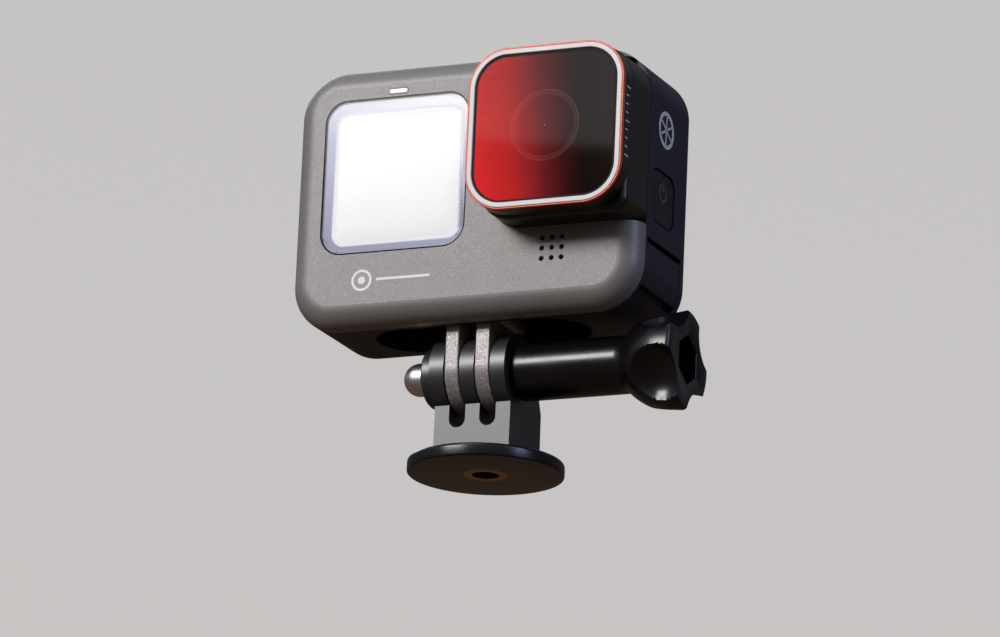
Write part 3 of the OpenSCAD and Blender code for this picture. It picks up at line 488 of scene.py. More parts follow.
def piece_from(bm, name, material, body, smooth_angle=SHARP):
    """Makes a finished bmesh a piece that rides on a body, with its place in its mesh."""
    mesh = bpy.data.meshes.new(name)
    bm.to_mesh(mesh)
    bm.free()
    mesh.materials.append(material)
    mesh.shade_smooth()
    mesh.set_sharp_from_angle(angle=smooth_angle)
    piece = bpy.data.objects.new(name, mesh)
    bpy.context.scene.collection.objects.link(piece)
    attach(piece, body)
    return piece


def round_edges(piece, width, segments=3):
    """Rounds a piece's sharp edges with a live bevel, and keeps its large faces flat."""
    bevel = piece.modifiers.new("Rounded edges", "BEVEL")
    bevel.width = width
    bevel.segments = segments
    bevel.limit_method = "ANGLE"
    bevel.angle_limit = SHARP
    bevel.harden_normals = False
    weighted = piece.modifiers.new("Flat faces", "WEIGHTED_NORMAL")
    weighted.keep_sharp = True


def merged_copy(node):
    """A copy of a CAD node's mesh with its doubles merged and its flat faces joined."""
    bm = bmesh.new()
    bm.from_mesh(NODES[node].data)
    bmesh.ops.remove_doubles(bm, verts=bm.verts, dist=0.001 * MM)
    bmesh.ops.dissolve_limit(
        bm, angle_limit=math.radians(0.2), verts=bm.verts, edges=bm.edges,
        use_dissolve_boundaries=False)
    return bm


def softened(node, name, material, width, segments=3):
    """Stands in for a CAD node with the same shape and its edges rounded."""
    piece = piece_from(merged_copy(node), name, material, NODES[node]["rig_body"])
    round_edges(piece, width, segments)
    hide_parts(node)
    return piece


def lathe(profile, centre, axis, steps):
    """Spins a profile round an axis; its points are (distance from the axis, distance along it)."""
    turn = Vector((0, 0, 1)).rotation_difference(Vector(axis)).to_matrix().to_4x4()
    to_place = Matrix.Translation(centre) @ turn
    bm = bmesh.new()
    points = [bmesh.ops.create_vert(bm, co=(r, 0, z))["vert"][0] for r, z in profile]
    edges = [bm.edges.new(pair) for pair in zip(points, points[1:])]
    bmesh.ops.spin(
        bm, geom=points + edges, cent=(0, 0, 0), axis=(0, 0, 1), dvec=(0, 0, 0),
        angle=math.tau, steps=steps, use_merge=True, use_duplicate=False)
    bmesh.ops.remove_doubles(bm, verts=bm.verts, dist=0.0005 * MM)
    bmesh.ops.recalc_face_normals(bm, faces=bm.faces)
    bmesh.ops.transform(bm, matrix=to_place, verts=bm.verts)
    return bm


def arc(cx, cz, r, start, end, count):
    """Points on an arc, as (distance from the axis, distance along it)."""
    return [
        (cx + r * math.cos(math.radians(start + (end - start) * i / count)),
         cz + r * math.sin(math.radians(start + (end - start) * i / count)))
        for i in range(count + 1)]


def ring_plate(outer, inner, thickness, segments, start=0.0, sweep=math.tau):
    """A flat ring, or part of one, in the XZ plane, from y = 0 to -thickness."""
    bm = bmesh.new()
    corners = [(inner, 0), (outer, 0), (outer, -thickness), (inner, -thickness)]
    points = [bmesh.ops.create_vert(bm, co=(x, y, 0))["vert"][0] for x, y in corners]
    whole = sweep >= math.tau - 1e-6
    loop = [bm.edges.new((points[i], points[(i + 1) % 4])) for i in range(4)]
    geometry = points + loop
    if not whole:
        geometry.append(bm.faces.new(points))
    bmesh.ops.rotate(bm, verts=bm.verts, cent=(0, 0, 0), matrix=Matrix.Rotation(-start, 3, "Y"))
    bmesh.ops.spin(
        bm, geom=geometry, cent=(0, 0, 0), axis=(0, -1, 0), dvec=(0, 0, 0),
        angle=sweep, steps=segments, use_merge=whole, use_duplicate=False)
    bmesh.ops.remove_doubles(bm, verts=bm.verts, dist=0.0005 * MM)
    bmesh.ops.recalc_face_normals(bm, faces=bm.faces)
    return bm


def disc_plate(bm, centre, radius, thickness, segments=32):
    """Adds a flat disc in the XZ plane, thickness deep, standing out towards -Y from centre."""
    inside = Vector(centre) - Vector((0, thickness / 2, 0))
    turn = Matrix.Translation(inside) @ Matrix.Rotation(math.radians(90), 4, "X")
    bmesh.ops.create_cone(
        bm, cap_ends=True, cap_tris=False, segments=segments,
        radius1=radius, radius2=radius, depth=thickness, matrix=turn)


def bar_plate(bm, centre, size):
    """Adds a box of this size about a centre."""
    bmesh.ops.create_cube(bm, size=1, matrix=Matrix.Translation(centre) @ Matrix.Diagonal((*size, 1)))


# ---- finishes of the CAD pieces ----------------------------------------------

def paint(material, *nodes):
    """Gives CAD nodes a finish."""
    for name in nodes:
        NODES[name].data.materials.clear()
        NODES[name].data.materials.append(material)


def soft_touch(colour):
    """Elastomer moulded over the housing: dark, with a painted blue cast of the sky it reflects on its
    shaded sides, matt, with a fine spark-eroded texture.
    """
    return grained("Soft Touch Elastomer Painted Sky", colour, 0.52, 0.22 * MM, 0.012 * MM, mottle=0.10, IOR=1.5)


def black_polycarbonate():
    """Moulded polycarbonate: black with a satin face and a barely visible grain."""
    return grained("Black Polycarbonate", linear("#0b0b0d"), 0.34, 0.25 * MM, 0.006 * MM, IOR=1.58)


def glossy_nylon():
    """Glass-filled nylon from a polished mould: black and shiny, with slow waves in its gloss."""
    return grained(
        "Polished Black Nylon", linear("#0e0f12"), 0.25, 1.6 * MM, 0.006 * MM,
        gloss_change=0.04, IOR=1.53)


def anodised_black():
    """Black anodised aluminium: fine bead-blasted grain under a satin film."""
    return grained("Black Anodised Aluminium", linear("#0d0d10"), 0.30, 0.12 * MM, 0.004 * MM, IOR=1.6)


def anodised_pale():
    """Clear-anodised bright aluminium: pale silver with a faint brushed variation."""
    return grained("Pale Anodised Aluminium", linear("#e4e0dc"), 0.38, 0.15 * MM, 0.003 * MM, mottle=0.03)


def anodised_orange(colour):
    """Dyed anodised aluminium: a saturated orange-red film over fine grain."""
    return grained(
        "Orange Anodised Aluminium", colour, 0.30, 0.15 * MM, 0.003 * MM, mottle=0.05, Metallic=0.1)


def textured_zinc():
    """Powder-coated zinc: light grey pebbled texture with warm and cool specks that glint."""
    material, tree, shader = blank("Textured Grey Zinc", Metallic=0.3)
    here = add(tree, "ShaderNodeTexCoord", output="Object")
    # the coating's grit is about 0.15 mm; it is drawn at 0.28 mm so that it shows
    grit = add(tree, "ShaderNodeTexNoise", {
        "Vector": here, "Scale": per_metre(0.28 * MM), "Detail": 2})
    tone = add(tree, "ShaderNodeValToRGB", {"Fac": grit}, stops=[
        (0.30, linear("#7d7876")), (0.46, linear("#9c9694")),
        (0.58, linear("#aaa5a2")), (0.72, linear("#d6d1cd"))])
    gloss = add(tree, "ShaderNodeMapRange", {"Value": grit, "From Min": 0.3, "From Max": 0.7})
    rough = add(tree, "ShaderNodeMath", {0: gloss, 1: -0.22, 2: 0.52}, operation="MULTIPLY_ADD")
    relief = add(tree, "ShaderNodeBump", {"Strength": 1, "Distance": 0.02 * MM, "Height": grit})
    feed(tree, shader, {"Base Color": tone, "Roughness": rough, "Normal": relief})
    return material


def satin_nylon_painted_sheen():
    """Glass-filled nylon from a sparked mould: black with a silky grain, drawn in greys lighter than black
    as a painted sheen.
    """
    material, tree, shader = blank(
        "Satin Black Nylon Painted Sheen", IOR=1.53, Roughness=0.38, Specular_IOR_Level=1.0)
    here = add(tree, "ShaderNodeTexCoord", output="Object")
    # the spark grain is about 0.1 mm; it is drawn at 0.2 mm so that it shows
    grit = add(tree, "ShaderNodeTexNoise", {
        "Vector": here, "Scale": per_metre(0.2 * MM), "Detail": 2})
    # painted sheen: the grain's tones are greys lighter than the black nylon, for the light that the block's
    # front catches
    tone = add(tree, "ShaderNodeValToRGB", {"Fac": grit}, stops=[
        (0.35, linear("#1e2024")), (0.7, linear("#34363c"))])
    relief = add(tree, "ShaderNodeBump", {"Strength": 1, "Distance": 0.010 * MM, "Height": grit})
    feed(tree, shader, {"Base Color": tone, "Normal": relief})
    return material


def nitrile_rubber(name, hex_colour):
    """Moulded nitrile rubber: matt and slightly uneven."""
    return grained(name, linear(hex_colour), 0.75, 0.4 * MM, 0.012 * MM, IOR=1.5)


class ACTIONCAM_OT_body_finishes(bpy.types.Operator):
    """Finish the covers, the housing and what shows in their openings"""
    bl_idname = "actioncam.body_finishes"
    bl_label = "Body Finishes"

    def execute(self, context):
        settings = context.scene.actioncam_finish
        sky_tinted_housing = soft_touch(settings.housing_colour_painted_sky)
        dark = grained("Dark Button Elastomer", linear("#101219"), 0.44, 0.2 * MM, 0.010 * MM, IOR=1.5)
        paint(speckled_paint(settings), "front_cover")
        paint(sky_tinted_housing, "main_housing", "rear_cover")
        paint(dark, "finger_tray", "microphone")
        # these three get flat faces, which the CAD meshes' blended normals would fold at the corners
        softened("window_glass", "Window_Glass", clear_glass(), 0.03 * MM, segments=2)
        softened("window_bezel", "Window_Bezel", printed_bezel_painted_light(), 0.03 * MM, segments=2)
        display = lit_screen()
        softened("front_screen", "Front_Screen", display, 0.03 * MM, segments=2)
        paint(display, "rear_light")
        paint(light_window(), "status_light")
        paint(black_glass(), "rear_glass")
        paint(dark_screen(), "rear_screen")
        return {"FINISHED"}


class ACTIONCAM_OT_inner_finishes(bpy.types.Operator):
    """Finish the pieces inside the camera"""
    bl_idname = "actioncam.inner_finishes"
    bl_label = "Inner Finishes"

    def execute(self, context):
        steel = polished_metal("Stamped Stainless Steel", linear("#b9babd"), 0.28, 0.5 * MM)
        paint(circuit_board(), "main_board", "button_board", "sensor_board")
        paint(steel, "mode_switch", "shutter_switch", "card_reader", "charging_port", "door_pin",
              "finger_pin_left", "finger_pin_right", "tray_screws")
        paint(polished_metal("Milled Aluminium", linear("#c3c7cb"), 0.35, 0.8 * MM), "heat_spreader")
        paint(grained("Wrapped Battery Film", linear("#4b4e57"), 0.30, 0.6 * MM, 0.01 * MM), "battery")
        paint(grained("Moulded Card Plastic", linear("#141416"), 0.42, 0.2 * MM, 0.006 * MM), "memory_card")
        paint(grained("Bay Liner Plastic", linear("#232428"), 0.45, 0.3 * MM, 0.01 * MM), "battery_bay")
        paint(nitrile_rubber("Pale Silicone Seal", "#c9c9cf"), "door_seal")
        paint(grained("Speaker Diaphragm", linear("#2c2d31"), 0.5, 0.3 * MM, 0.02 * MM), "speaker")
        cover = grained("Sensor Cover Glass", linear("#343a55"), 0.12, 0.5 * MM, 0.002 * MM, IOR=1.5)
        paint(cover, "image_sensor")
        return {"FINISHED"}


class ACTIONCAM_OT_lens(bpy.types.Operator):
    """Make the lens boss with rounded edges, and finish the lens behind the filter"""
    bl_idname = "actioncam.lens"
    bl_label = "Lens"

    def execute(self, context):
        black = black_polycarbonate()
        edge = context.scene.actioncam_detail.edge_round
        softened("lens_boss", "Lens_Boss", black, edge)
        paint(black, "lens_collar", "lens_barrel")
        turned = grained(
            "Dark Turned Aluminium", linear("#33343a"), 0.25, 0.2 * MM, 0.004 * MM, Metallic=0.9)
        paint(turned, "lens_ring")
        paint(lens_coating(), "front_lens", "inner_lens")
        return {"FINISHED"}


class ACTIONCAM_OT_filter(bpy.types.Operator):
    """Make the filter's frame and rings with rounded edges, its index ticks and its coated glass"""
    bl_idname = "actioncam.filter"
    bl_label = "Filter"

    def execute(self, context):
        finish = context.scene.actioncam_finish
        detail = context.scene.actioncam_detail
        pale = anodised_pale()
        softened("filter_frame", "Filter_Frame", anodised_black(), detail.edge_round)
        softened("filter_trim", "Filter_Pale_Band", pale, 0.12 * MM)
        orange = anodised_orange(finish.accent_colour)
        softened("filter_accent", "Filter_Rim_Line", orange, 0.12 * MM)
        paint(nitrile_rubber("Black Filter Gasket", "#060606"), "filter_gasket")
        paint(coated_filter_glass_painted_reflection(finish), "filter_glass")
        self.make_ticks(detail)
        return {"FINISHED"}

    def make_ticks(self, detail):
        """Index ticks printed down the side of the frame, longer at the ends and the middle."""
        low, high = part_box("filter_frame")
        thickness = detail.mark_proud
        span = (high.z - low.z) * 0.42
        bm = bmesh.new()
        for i in range(detail.tick_count):
            share = i / (detail.tick_count - 1) - 0.5
            long_tick = i % ((detail.tick_count - 1) // 2) == 0
            length = (1.7 if long_tick else 1.0) * MM
            forward = low.y + 0.9 * MM + length / 2
            level = middle("filter_frame").z + share * span
            bar_plate(bm, (high.x + thickness / 2, forward, level), (thickness, length, 0.22 * MM))
        ink = grained("White Pad Print", linear("#fafafa"), 0.5, 0.2 * MM, 0.004 * MM)
        piece_from(bm, "Filter_Ticks", ink, "filter")


class ACTIONCAM_OT_marks(bpy.types.Operator):
    """Print plain marks in place of lettering: a ring and bar on the front, an iris on the side"""
    bl_idname = "actioncam.marks"
    bl_label = "Printed Marks"

    def execute(self, context):
        thickness = context.scene.actioncam_detail.mark_proud
        self.front_mark(thickness)
        self.side_mark(thickness)
        return {"FINISHED"}

    def front_mark(self, thickness):
        """A recording ring with its dot, and a thin bar beside it."""
        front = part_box("front_cover")[0].y
        window_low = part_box("window_bezel")[0]
        left = window_low.x + 7.0 * MM
        level = (window_low.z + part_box("front_cover")[0].z) / 2 + 1.6 * MM
        bm = ring_plate(2.1 * MM, 1.6 * MM, thickness, 48)
        disc_plate(bm, (0, 0, 0), 0.75 * MM, thickness)
        bmesh.ops.translate(bm, verts=bm.verts, vec=(left + 2.1 * MM, front, level))
        bar_plate(bm, (left + 10.6 * MM, front - thickness / 2, level), (11 * MM, thickness, 0.5 * MM))
        ink = grained("White Printed Ink", linear("#ececea"), 0.35, 0.2 * MM, 0.004 * MM)
        piece_from(bm, "Front_Mark", ink, "camera")

    def side_mark(self, thickness):
        """A six-bladed iris in a ring, laid on the body's right side."""
        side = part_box("main_housing")[1].x
        centre = Vector((side, middle("mode_button").y + 0.3 * MM, middle("mode_button").z + 13.6 * MM))
        bm = ring_plate(3.6 * MM, 2.8 * MM, thickness, 64)
        blades = 6
        out = Matrix.Translation((1.45 * MM, -thickness / 2, 0.75 * MM))
        lean = Matrix.Rotation(math.radians(-28), 4, "Y")
        size = Matrix.Diagonal((2.7 * MM, thickness, 0.42 * MM, 1))
        for i in range(blades):
            blade = Matrix.Rotation(i * math.tau / blades, 4, "Y") @ out
            bmesh.ops.create_cube(bm, size=1, matrix=blade @ lean @ size)
        turn = Matrix.Translation(centre) @ Matrix.Rotation(math.radians(90), 4, "Z")
        bmesh.ops.transform(bm, matrix=turn, verts=bm.verts)
        bmesh.ops.recalc_face_normals(bm, faces=bm.faces)
        ink = grained("Grey Printed Ink", linear("#dfe1e8"), 0.4, 0.2 * MM, 0.004 * MM)
        piece_from(bm, "Side_Mark", ink, "camera")


class ACTIONCAM_OT_buttons(bpy.types.Operator):
    """Make the two buttons, the top button's ring and the power sign"""
    bl_idname = "actioncam.buttons"
    bl_label = "Buttons"

    def execute(self, context):
        detail = context.scene.actioncam_detail
        dark = grained("Matt Button Elastomer", linear("#121319"), 0.46, 0.2 * MM, 0.010 * MM, IOR=1.5)
        softened("mode_button", "Side_Button", dark, 0.35 * MM, 4)
        paint_match = speckled_paint(context.scene.actioncam_finish)
        softened("shutter_button", "Top_Button", paint_match, 0.3 * MM, 4)
        red = grained("Red Moulded Ring", linear("#b3242b"), 0.28, 0.2 * MM, 0.006 * MM, IOR=1.5)
        softened("shutter_ring", "Top_Button_Ring", red, 0.15 * MM)
        self.power_sign(detail.mark_proud)
        return {"FINISHED"}

    def power_sign(self, thickness):
        """An open ring with a bar through its gap, moulded on the side button."""
        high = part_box("mode_button")[1]
        centre = Vector((high.x, middle("mode_button").y, middle("mode_button").z + 1.2 * MM))
        gap = math.radians(58)
        start = math.radians(90) + gap / 2
        bm = ring_plate(1.75 * MM, 1.4 * MM, thickness * 1.5, 40, start, math.tau - gap)
        bar_plate(bm, (0, -thickness * 0.75, 1.25 * MM), (0.36 * MM, thickness * 1.5, 1.9 * MM))
        turn = Matrix.Translation(centre) @ Matrix.Rotation(math.radians(90), 4, "Z")
        bmesh.ops.transform(bm, matrix=turn, verts=bm.verts)
        ink = grained("Grey Gloss Sign", linear("#5a5d66"), 0.25, 0.2 * MM, 0.004 * MM)
        piece_from(bm, "Power_Sign", ink, "side_button")


class ACTIONCAM_OT_side_panels(bpy.types.Operator):
    """Make the drain panel, the battery door and its latch with rounded edges"""
    bl_idname = "actioncam.side_panels"
    bl_label = "Side Panels"

    def execute(self, context):
        sky_tinted_housing = soft_touch(context.scene.actioncam_finish.housing_colour_painted_sky)
        latch = grained("Latch Plastic", linear("#262a38"), 0.35, 0.2 * MM, 0.006 * MM)
        softened("drain_panel", "Drain_Panel", sky_tinted_housing, 0.2 * MM)
        softened("battery_door", "Battery_Door", sky_tinted_housing, 0.2 * MM)
        softened("door_latch", "Door_Latch", latch, 0.06 * MM)
        return {"FINISHED"}


class ACTIONCAM_OT_fingers(bpy.types.Operator):
    """Make the two folding fingers with rounded edges"""
    bl_idname = "actioncam.fingers"
    bl_label = "Fingers"

    def execute(self, context):
        zinc = textured_zinc()
        softened("finger_left", "Finger_Left", zinc, 0.35 * MM, 4)
        softened("finger_right", "Finger_Right", zinc, 0.35 * MM, 4)
        return {"FINISHED"}


class ACTIONCAM_OT_adapter(bpy.types.Operator):
    """Make the adapter: its block with rounded prongs, its disc and its socket"""
    bl_idname = "actioncam.adapter"
    bl_label = "Adapter"

    def execute(self, context):
        nylon = glossy_nylon()
        detail = context.scene.actioncam_detail
        block = self.make_block(satin_nylon_painted_sheen(), detail.edge_round * 1.6)
        disc = self.make_disc(nylon)
        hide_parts("adapter")
        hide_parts("adapter")
        paint(polished_metal("Turned Brass", linear("#b98f4c"), 0.25, 0.4 * MM), "threaded_insert")
        return {"FINISHED"}

    def make_block(self, material, edge):
        """The block and prongs; the foot of the copy is drawn in, out of sight inside the new disc."""
        bm = merged_copy("adapter")
        for v in bm.verts:
            if v.co.z < 2.61 * MM and v.co.xy.length > 12 * MM:
                v.co = (v.co.x * 0.95, v.co.y * 0.95, min(max(v.co.z, 0.3 * MM), 2.3 * MM))
            elif v.co.z < 0.1 * MM:
                v.co.z = 0.3 * MM
        piece = piece_from(bm, "Adapter_Block", material, "mount")
        round_edges(piece, edge, 4)
        return piece

    def make_disc(self, material):
        """The round foot, with a softly rounded rim, round the brass insert."""
        low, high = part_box("adapter")
        radius = (high.y - low.y) / 2
        hole = extent("threaded_insert").x / 2 + 0.03 * MM
        top, top_round, foot_round = 2.6 * MM, 0.8 * MM, 0.35 * MM
        profile = [(hole, top - 0.4 * MM), (hole, 0)]
        profile += arc(radius - foot_round, foot_round, foot_round, -90, 0, 6)
        profile += arc(radius - top_round, top - top_round, top_round, 0, 90, 8)
        profile += [(hole, top), (hole, top - 0.4 * MM)]
        bm = lathe(profile, (0, 0, 0), (0, 0, 1), 160)
        return piece_from(bm, "Adapter_Disc", material, "mount")


class ACTIONCAM_OT_cap_nut(bpy.types.Operator):
    """Make the domed cap nut"""
    bl_idname = "actioncam.cap_nut"
    bl_label = "Cap Nut"

    def execute(self, context):
        low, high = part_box("cap_nut")
        steel = polished_metal("Polished Stainless Steel", linear("#f0f0f2"), 0.30, 0.35 * MM)
        dome_r, neck = 3.15 * MM, 2.3 * MM
        base_r = 0.98 * (high.y - low.y) / 2
        neck_end = -low.x - dome_r
        hex_end = neck_end - neck
        # distances run towards the dome, along -X
        profile = [(2.6 * MM, -high.x), (base_r, -high.x), (base_r, hex_end - 0.2 * MM)]
        profile += [(base_r - 0.2 * MM, hex_end), (dome_r + 0.1 * MM, hex_end), (dome_r, hex_end + 0.1 * MM)]
        profile += arc(0, neck_end, dome_r, 0, 90, 20)[:-1] + [(0, -low.x)]
        bm = lathe(profile, (0, PIVOT.y, PIVOT.z), (-1, 0, 0), 96)
        piece = piece_from(bm, "Cap_Nut", steel, "mount", math.radians(40))
        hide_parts("cap_nut")
        return {"FINISHED"}


class ACTIONCAM_OT_thumbscrew(bpy.types.Operator):
    """Make the thumbscrew's sleeve and its scooped grip, and finish the screw and washer"""
    bl_idname = "actioncam.thumbscrew"
    bl_label = "Thumbscrew"

    def execute(self, context):
        steel = polished_metal("Zinc-plated Steel", linear("#a9abb0"), 0.22, 0.4 * MM)
        paint(steel, "screw")
        paint(polished_metal("Blackened Washer Steel", linear("#2c2c30"), 0.30, 0.4 * MM), "washer")
        self.make_grip(context.scene.actioncam_detail)
        return {"FINISHED"}

    def make_grip(self, detail):
        """A sleeve that flares into a grip with four finger scoops and a hexagonal recess."""
        start, end = (corner.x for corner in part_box("thumb_grip"))
        sleeve_r, grip_r = 5.5 * MM, 9.7 * MM
        rings = self.grip_profile(start, end, sleeve_r, grip_r)
        bm = bmesh.new()
        bmesh.ops.create_circle(bm, cap_ends=False, segments=detail.grip_segments, radius=1.0)
        angles = {v: math.atan2(v.co.y, v.co.x) for v in bm.verts}
        edges = list(bm.edges)
        for i, (x, radius, kind) in enumerate(rings):
            if i:
                made = bmesh.ops.extrude_edge_only(bm, edges=edges)["geom"]
                angles = {v: math.atan2(v.co.z - PIVOT.z, v.co.y - PIVOT.y)
                          for v in made if isinstance(v, bmesh.types.BMVert)}
                edges = [e for e in made if isinstance(e, bmesh.types.BMEdge)
                         and all(v in angles for v in e.verts)]
            for v, angle in angles.items():
                r = radius
                if kind == "hex":
                    r = self.hex_radius(radius, angle)
                elif kind == "scooped":
                    r = self.scooped_radius(radius, x, angle, grip_r, end)
                v.co = (x, PIVOT.y + r * math.cos(angle), PIVOT.z + r * math.sin(angle))
        bmesh.ops.remove_doubles(bm, verts=bm.verts, dist=0.0005 * MM)
        bmesh.ops.recalc_face_normals(bm, faces=bm.faces)
        piece = piece_from(
            bm, "Thumb_Grip", glossy_nylon(), "thumbscrew", math.radians(50))
        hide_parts("thumb_grip")

    def hex_radius(self, apothem, angle):
        """How far the recess's side lies from its middle at an angle; its corners point up and down."""
        turn = (angle - math.radians(90) + math.pi / 6) % (math.pi / 3) - math.pi / 6
        return apothem / math.cos(abs(turn) - math.pi / 6)

    def scooped_radius(self, radius, x, angle, grip_r, end):
        """The turned shape's radius at an angle, less what a round scoop takes away."""
        scoop_r, scoop_out, scoop_x = 7.5 * MM, grip_r + 3.5 * MM, end - 3.5 * MM
        reach = scoop_r ** 2 - (x - scoop_x) ** 2
        # the nearest of the four scoops, the first of which stands at 30 degrees
        turn = (angle - math.radians(30) + math.pi / 4) % (math.pi / 2) - math.pi / 4
        chord = reach - (scoop_out * math.sin(turn)) ** 2
        if reach <= 0 or chord <= 0:
            return radius
        cut = scoop_out * math.cos(turn) - math.sqrt(chord)
        # the scoop's edge is rounded over by blending the two surfaces
        blend = 0.45 * MM
        weight = max(0.0, min(1.0, 0.5 + (radius - cut) / (2 * blend)))
        dip = 0.9 * blend * weight * (1 - weight)
        return radius * (1 - weight) + cut * weight - dip

    def grip_profile(self, start, end, sleeve_r, grip_r):
        """Rings from the washer's end, along the outside, into the recess: (place, radius, kind)."""
        bore, edge, rim = 2.55 * MM, 0.3 * MM, 0.75 * MM
        apothem, lead_in, recess_l = 4.2 * MM, 0.25 * MM, 5.4 * MM
        bell_start, bell_end = end - 11.5 * MM, end - 1.7 * MM
        sleeve_steps, bell_steps, blunt_steps, rim_steps = 12, 80, 4, 8
        rings = [(start, bore, "plain"), (start, sleeve_r - edge, "plain")]
        for a in (i * math.pi / 8 for i in range(1, 5)):
            rings.append((start + edge * (1 - math.cos(a)), sleeve_r - edge * (1 - math.sin(a)), "plain"))
        for i in range(1, sleeve_steps + 1):
            rings.append((start + (bell_start - start) * i / sleeve_steps, sleeve_r, "plain"))
        # the bell is an arc that meets the blunt end's cylinder without a crease
        length, rise = bell_end - bell_start, grip_r - sleeve_r
        arc_r = (length ** 2 + rise ** 2) / (2 * rise)
        for i in range(1, bell_steps + 1):
            back = length * (1 - i / bell_steps)
            swell = grip_r - arc_r + math.sqrt(arc_r ** 2 - back ** 2)
            rings.append((bell_start + length * i / bell_steps, swell, "scooped"))
        for i in range(1, blunt_steps + 1):
            rings.append((bell_end + (end - rim - bell_end) * i / blunt_steps, grip_r, "scooped"))
        for a in (i / rim_steps * math.pi / 2 for i in range(1, rim_steps + 1)):
            rings.append((end - rim * (1 - math.sin(a)), grip_r - rim * (1 - math.cos(a)), "scooped"))
        return rings + [
            (end, apothem + lead_in, "hex"), (end - 0.2 * MM, apothem, "hex"),
            (end - recess_l, apothem, "hex"), (end - recess_l, bore, "plain")]


# ---- stage -------------------------------------------------------------------

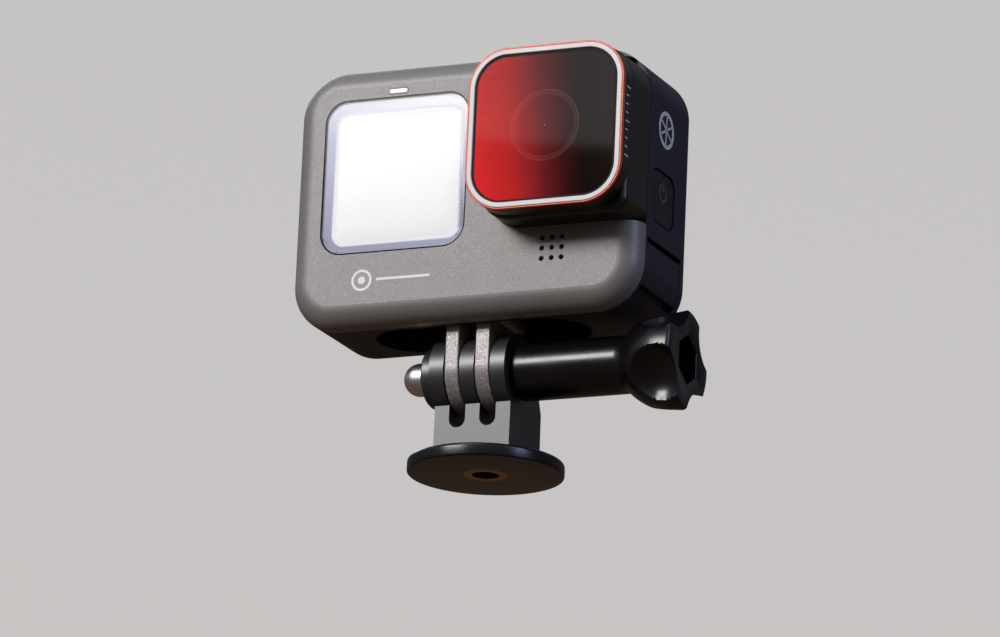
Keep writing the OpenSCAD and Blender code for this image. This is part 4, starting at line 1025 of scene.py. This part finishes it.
class ACTIONCAM_OT_stage(bpy.types.Operator):
    """Set up the camera, the pale floor and the studio lights"""
    bl_idname = "actioncam.stage"
    bl_label = "Stage"

    def execute(self, context):
        settings = context.scene.actioncam_stage
        self.make_camera(context, settings)
        self.make_floor(context, settings)
        self.make_world(context)
        self.make_lights(context)
        return {"FINISHED"}

    def make_camera(self, context, settings):
        """Looks up at the object from its front right, from far away."""
        data = bpy.data.cameras.new("Camera")
        data.lens = settings.focal_length
        data.clip_start = 0.05
        camera = bpy.data.objects.new("Camera", data)
        context.scene.collection.objects.link(camera)
        turn = (Matrix.Rotation(settings.azimuth, 4, "Z")
                @ Matrix.Rotation(math.radians(90) - settings.elevation, 4, "X")
                @ Matrix.Rotation(settings.roll, 4, "Z"))
        back = Matrix.Translation((0, 0, settings.distance))
        camera.matrix_world = Matrix.Translation(settings.target) @ turn @ back
        context.scene.camera = camera

    def make_floor(self, context, settings):
        """A plain pale floor, well below the object, which is held up by its tripod socket."""
        bm = bmesh.new()
        bmesh.ops.create_grid(bm, x_segments=1, y_segments=1, size=6)
        bmesh.ops.translate(bm, verts=bm.verts, vec=(0, 0, -settings.floor_drop))
        mesh = bpy.data.meshes.new("Floor")
        bm.to_mesh(mesh)
        bm.free()
        mesh.materials.append(blank("Pale Studio Floor", Roughness=0.8, Base_Color=linear("#d8d4cf"))[0])
        floor = bpy.data.objects.new("Floor", mesh)
        context.scene.collection.objects.link(floor)
        # it is seen and shadowed, and throws no light back up at the held-up object
        floor.visible_glossy = False
        floor.visible_diffuse = False

    def make_world(self, context):
        """A pale surround to the eye; what lights the object is brighter in front and above."""
        world = bpy.data.worlds.new("Studio")
        world.use_nodes = True
        tree = world.node_tree
        sight = add(tree, "ShaderNodeTexCoord", output="Generated")
        up = add(tree, "ShaderNodeSeparateXYZ", {"Vector": sight}, "Z")
        back = add(tree, "ShaderNodeSeparateXYZ", {"Vector": sight}, "Y")
        height = add(tree, "ShaderNodeMapRange", {"Value": up, "From Min": -0.9, "From Max": 0.9})
        backdrop = add(tree, "ShaderNodeValToRGB", {"Fac": height}, stops=[
            (0.0, linear("#c8c2bd")), (0.6, linear("#c9c6c4")), (1.0, linear("#b9babf"))])
        front = add(tree, "ShaderNodeMapRange", {"Value": back, "From Min": 0.3, "From Max": -0.9})
        above = add(tree, "ShaderNodeMapRange", {"Value": up, "From Min": -0.05, "From Max": 0.5})
        glow = add(tree, "ShaderNodeMath", {0: front, 1: 0.45, 2: 0.25}, operation="MULTIPLY_ADD")
        total = add(tree, "ShaderNodeMath", {0: above, 1: glow}, operation="MULTIPLY")
        soft = add(tree, "ShaderNodeValToRGB", {"Fac": total}, stops=[
            (0.0, linear("#54443a")), (0.15, linear("#4c4c52")), (1.0, linear("#d0d4de"))])
        to_camera = add(tree, "ShaderNodeLightPath", output="Is Camera Ray")
        colour = add(tree, "ShaderNodeMix", {
            "Factor": to_camera, 6: soft, 7: backdrop}, 2, data_type="RGBA")
        feed(tree, tree.nodes["Background"], {"Color": colour})
        context.scene.world = world
        context.scene.view_settings.view_transform = "Standard"

    def make_lights(self, context):
        """Soft boxes: a broad key at the front left, one over the top, one behind and one at the right."""
        self.make_light(context, "Key", (-0.52, -1.06, 0.60), 0.60, 0.34, 11.2, "#fbf8f8")
        self.make_light(context, "Over", (-0.15, -0.45, 1.15), 0.5, 0.4, 1.5, "#e4e9ff")
        self.make_light(context, "Rear left", (-0.9, 0.8, 0.9), 0.6, 0.5, 3.5, "#f2f4ff")
        self.make_light(context, "Right fill", (1.2, -0.3, 0.6), 0.4, 0.6, 4.2, "#b9ccff")

    def make_light(self, context, name, stand, width, height, watts, colour):
        """A rectangular soft box aimed at the object's middle."""
        data = bpy.data.lights.new(name, "AREA")
        data.shape = "RECTANGLE"
        data.size, data.size_y = width, height
        data.energy = watts
        data.color = linear(colour)[:3]
        light = bpy.data.objects.new(name, data)
        context.scene.collection.objects.link(light)
        aim = Vector((0, 0, 0.045)) - Vector(stand)
        turn = aim.to_track_quat("-Z", "Y").to_matrix().to_4x4()
        light.matrix_world = Matrix.Translation(stand) @ turn


# ---- panel and registration ----------------------------------------------------

STEPS = (
    ACTIONCAM_OT_stage, ACTIONCAM_OT_body_finishes, ACTIONCAM_OT_inner_finishes, ACTIONCAM_OT_lens,
    ACTIONCAM_OT_filter, ACTIONCAM_OT_marks, ACTIONCAM_OT_buttons, ACTIONCAM_OT_side_panels,
    ACTIONCAM_OT_fingers, ACTIONCAM_OT_adapter, ACTIONCAM_OT_cap_nut, ACTIONCAM_OT_thumbscrew,
)


class ACTIONCAM_PT_pieces(bpy.types.Panel):
    """Lists the steps that make the camera's pieces"""
    bl_label = "Action Camera"
    bl_idname = "ACTIONCAM_PT_pieces"
    bl_space_type = "VIEW_3D"
    bl_region_type = "UI"
    bl_category = "Action Camera"

    def draw(self, context):
        for step in STEPS:
            self.layout.operator(step.bl_idname)


CLASSES = (FinishSettings, DetailSettings, StageSettings, *STEPS, ACTIONCAM_PT_pieces)


def register():
    for cls in CLASSES:
        bpy.utils.register_class(cls)
    bpy.types.Scene.actioncam_finish = PointerProperty(type=FinishSettings)
    bpy.types.Scene.actioncam_detail = PointerProperty(type=DetailSettings)
    bpy.types.Scene.actioncam_stage = PointerProperty(type=StageSettings)


def unregister():
    del bpy.types.Scene.actioncam_stage
    del bpy.types.Scene.actioncam_detail
    del bpy.types.Scene.actioncam_finish
    for cls in reversed(CLASSES):
        bpy.utils.unregister_class(cls)


def run(step):
    """Calls a step's operator by its name."""
    group, name = step.bl_idname.split(".")
    getattr(getattr(bpy.ops, group), name)()


def main():
    register()
    for step in STEPS:
        run(step)


if __name__ == "__main__":
    main()
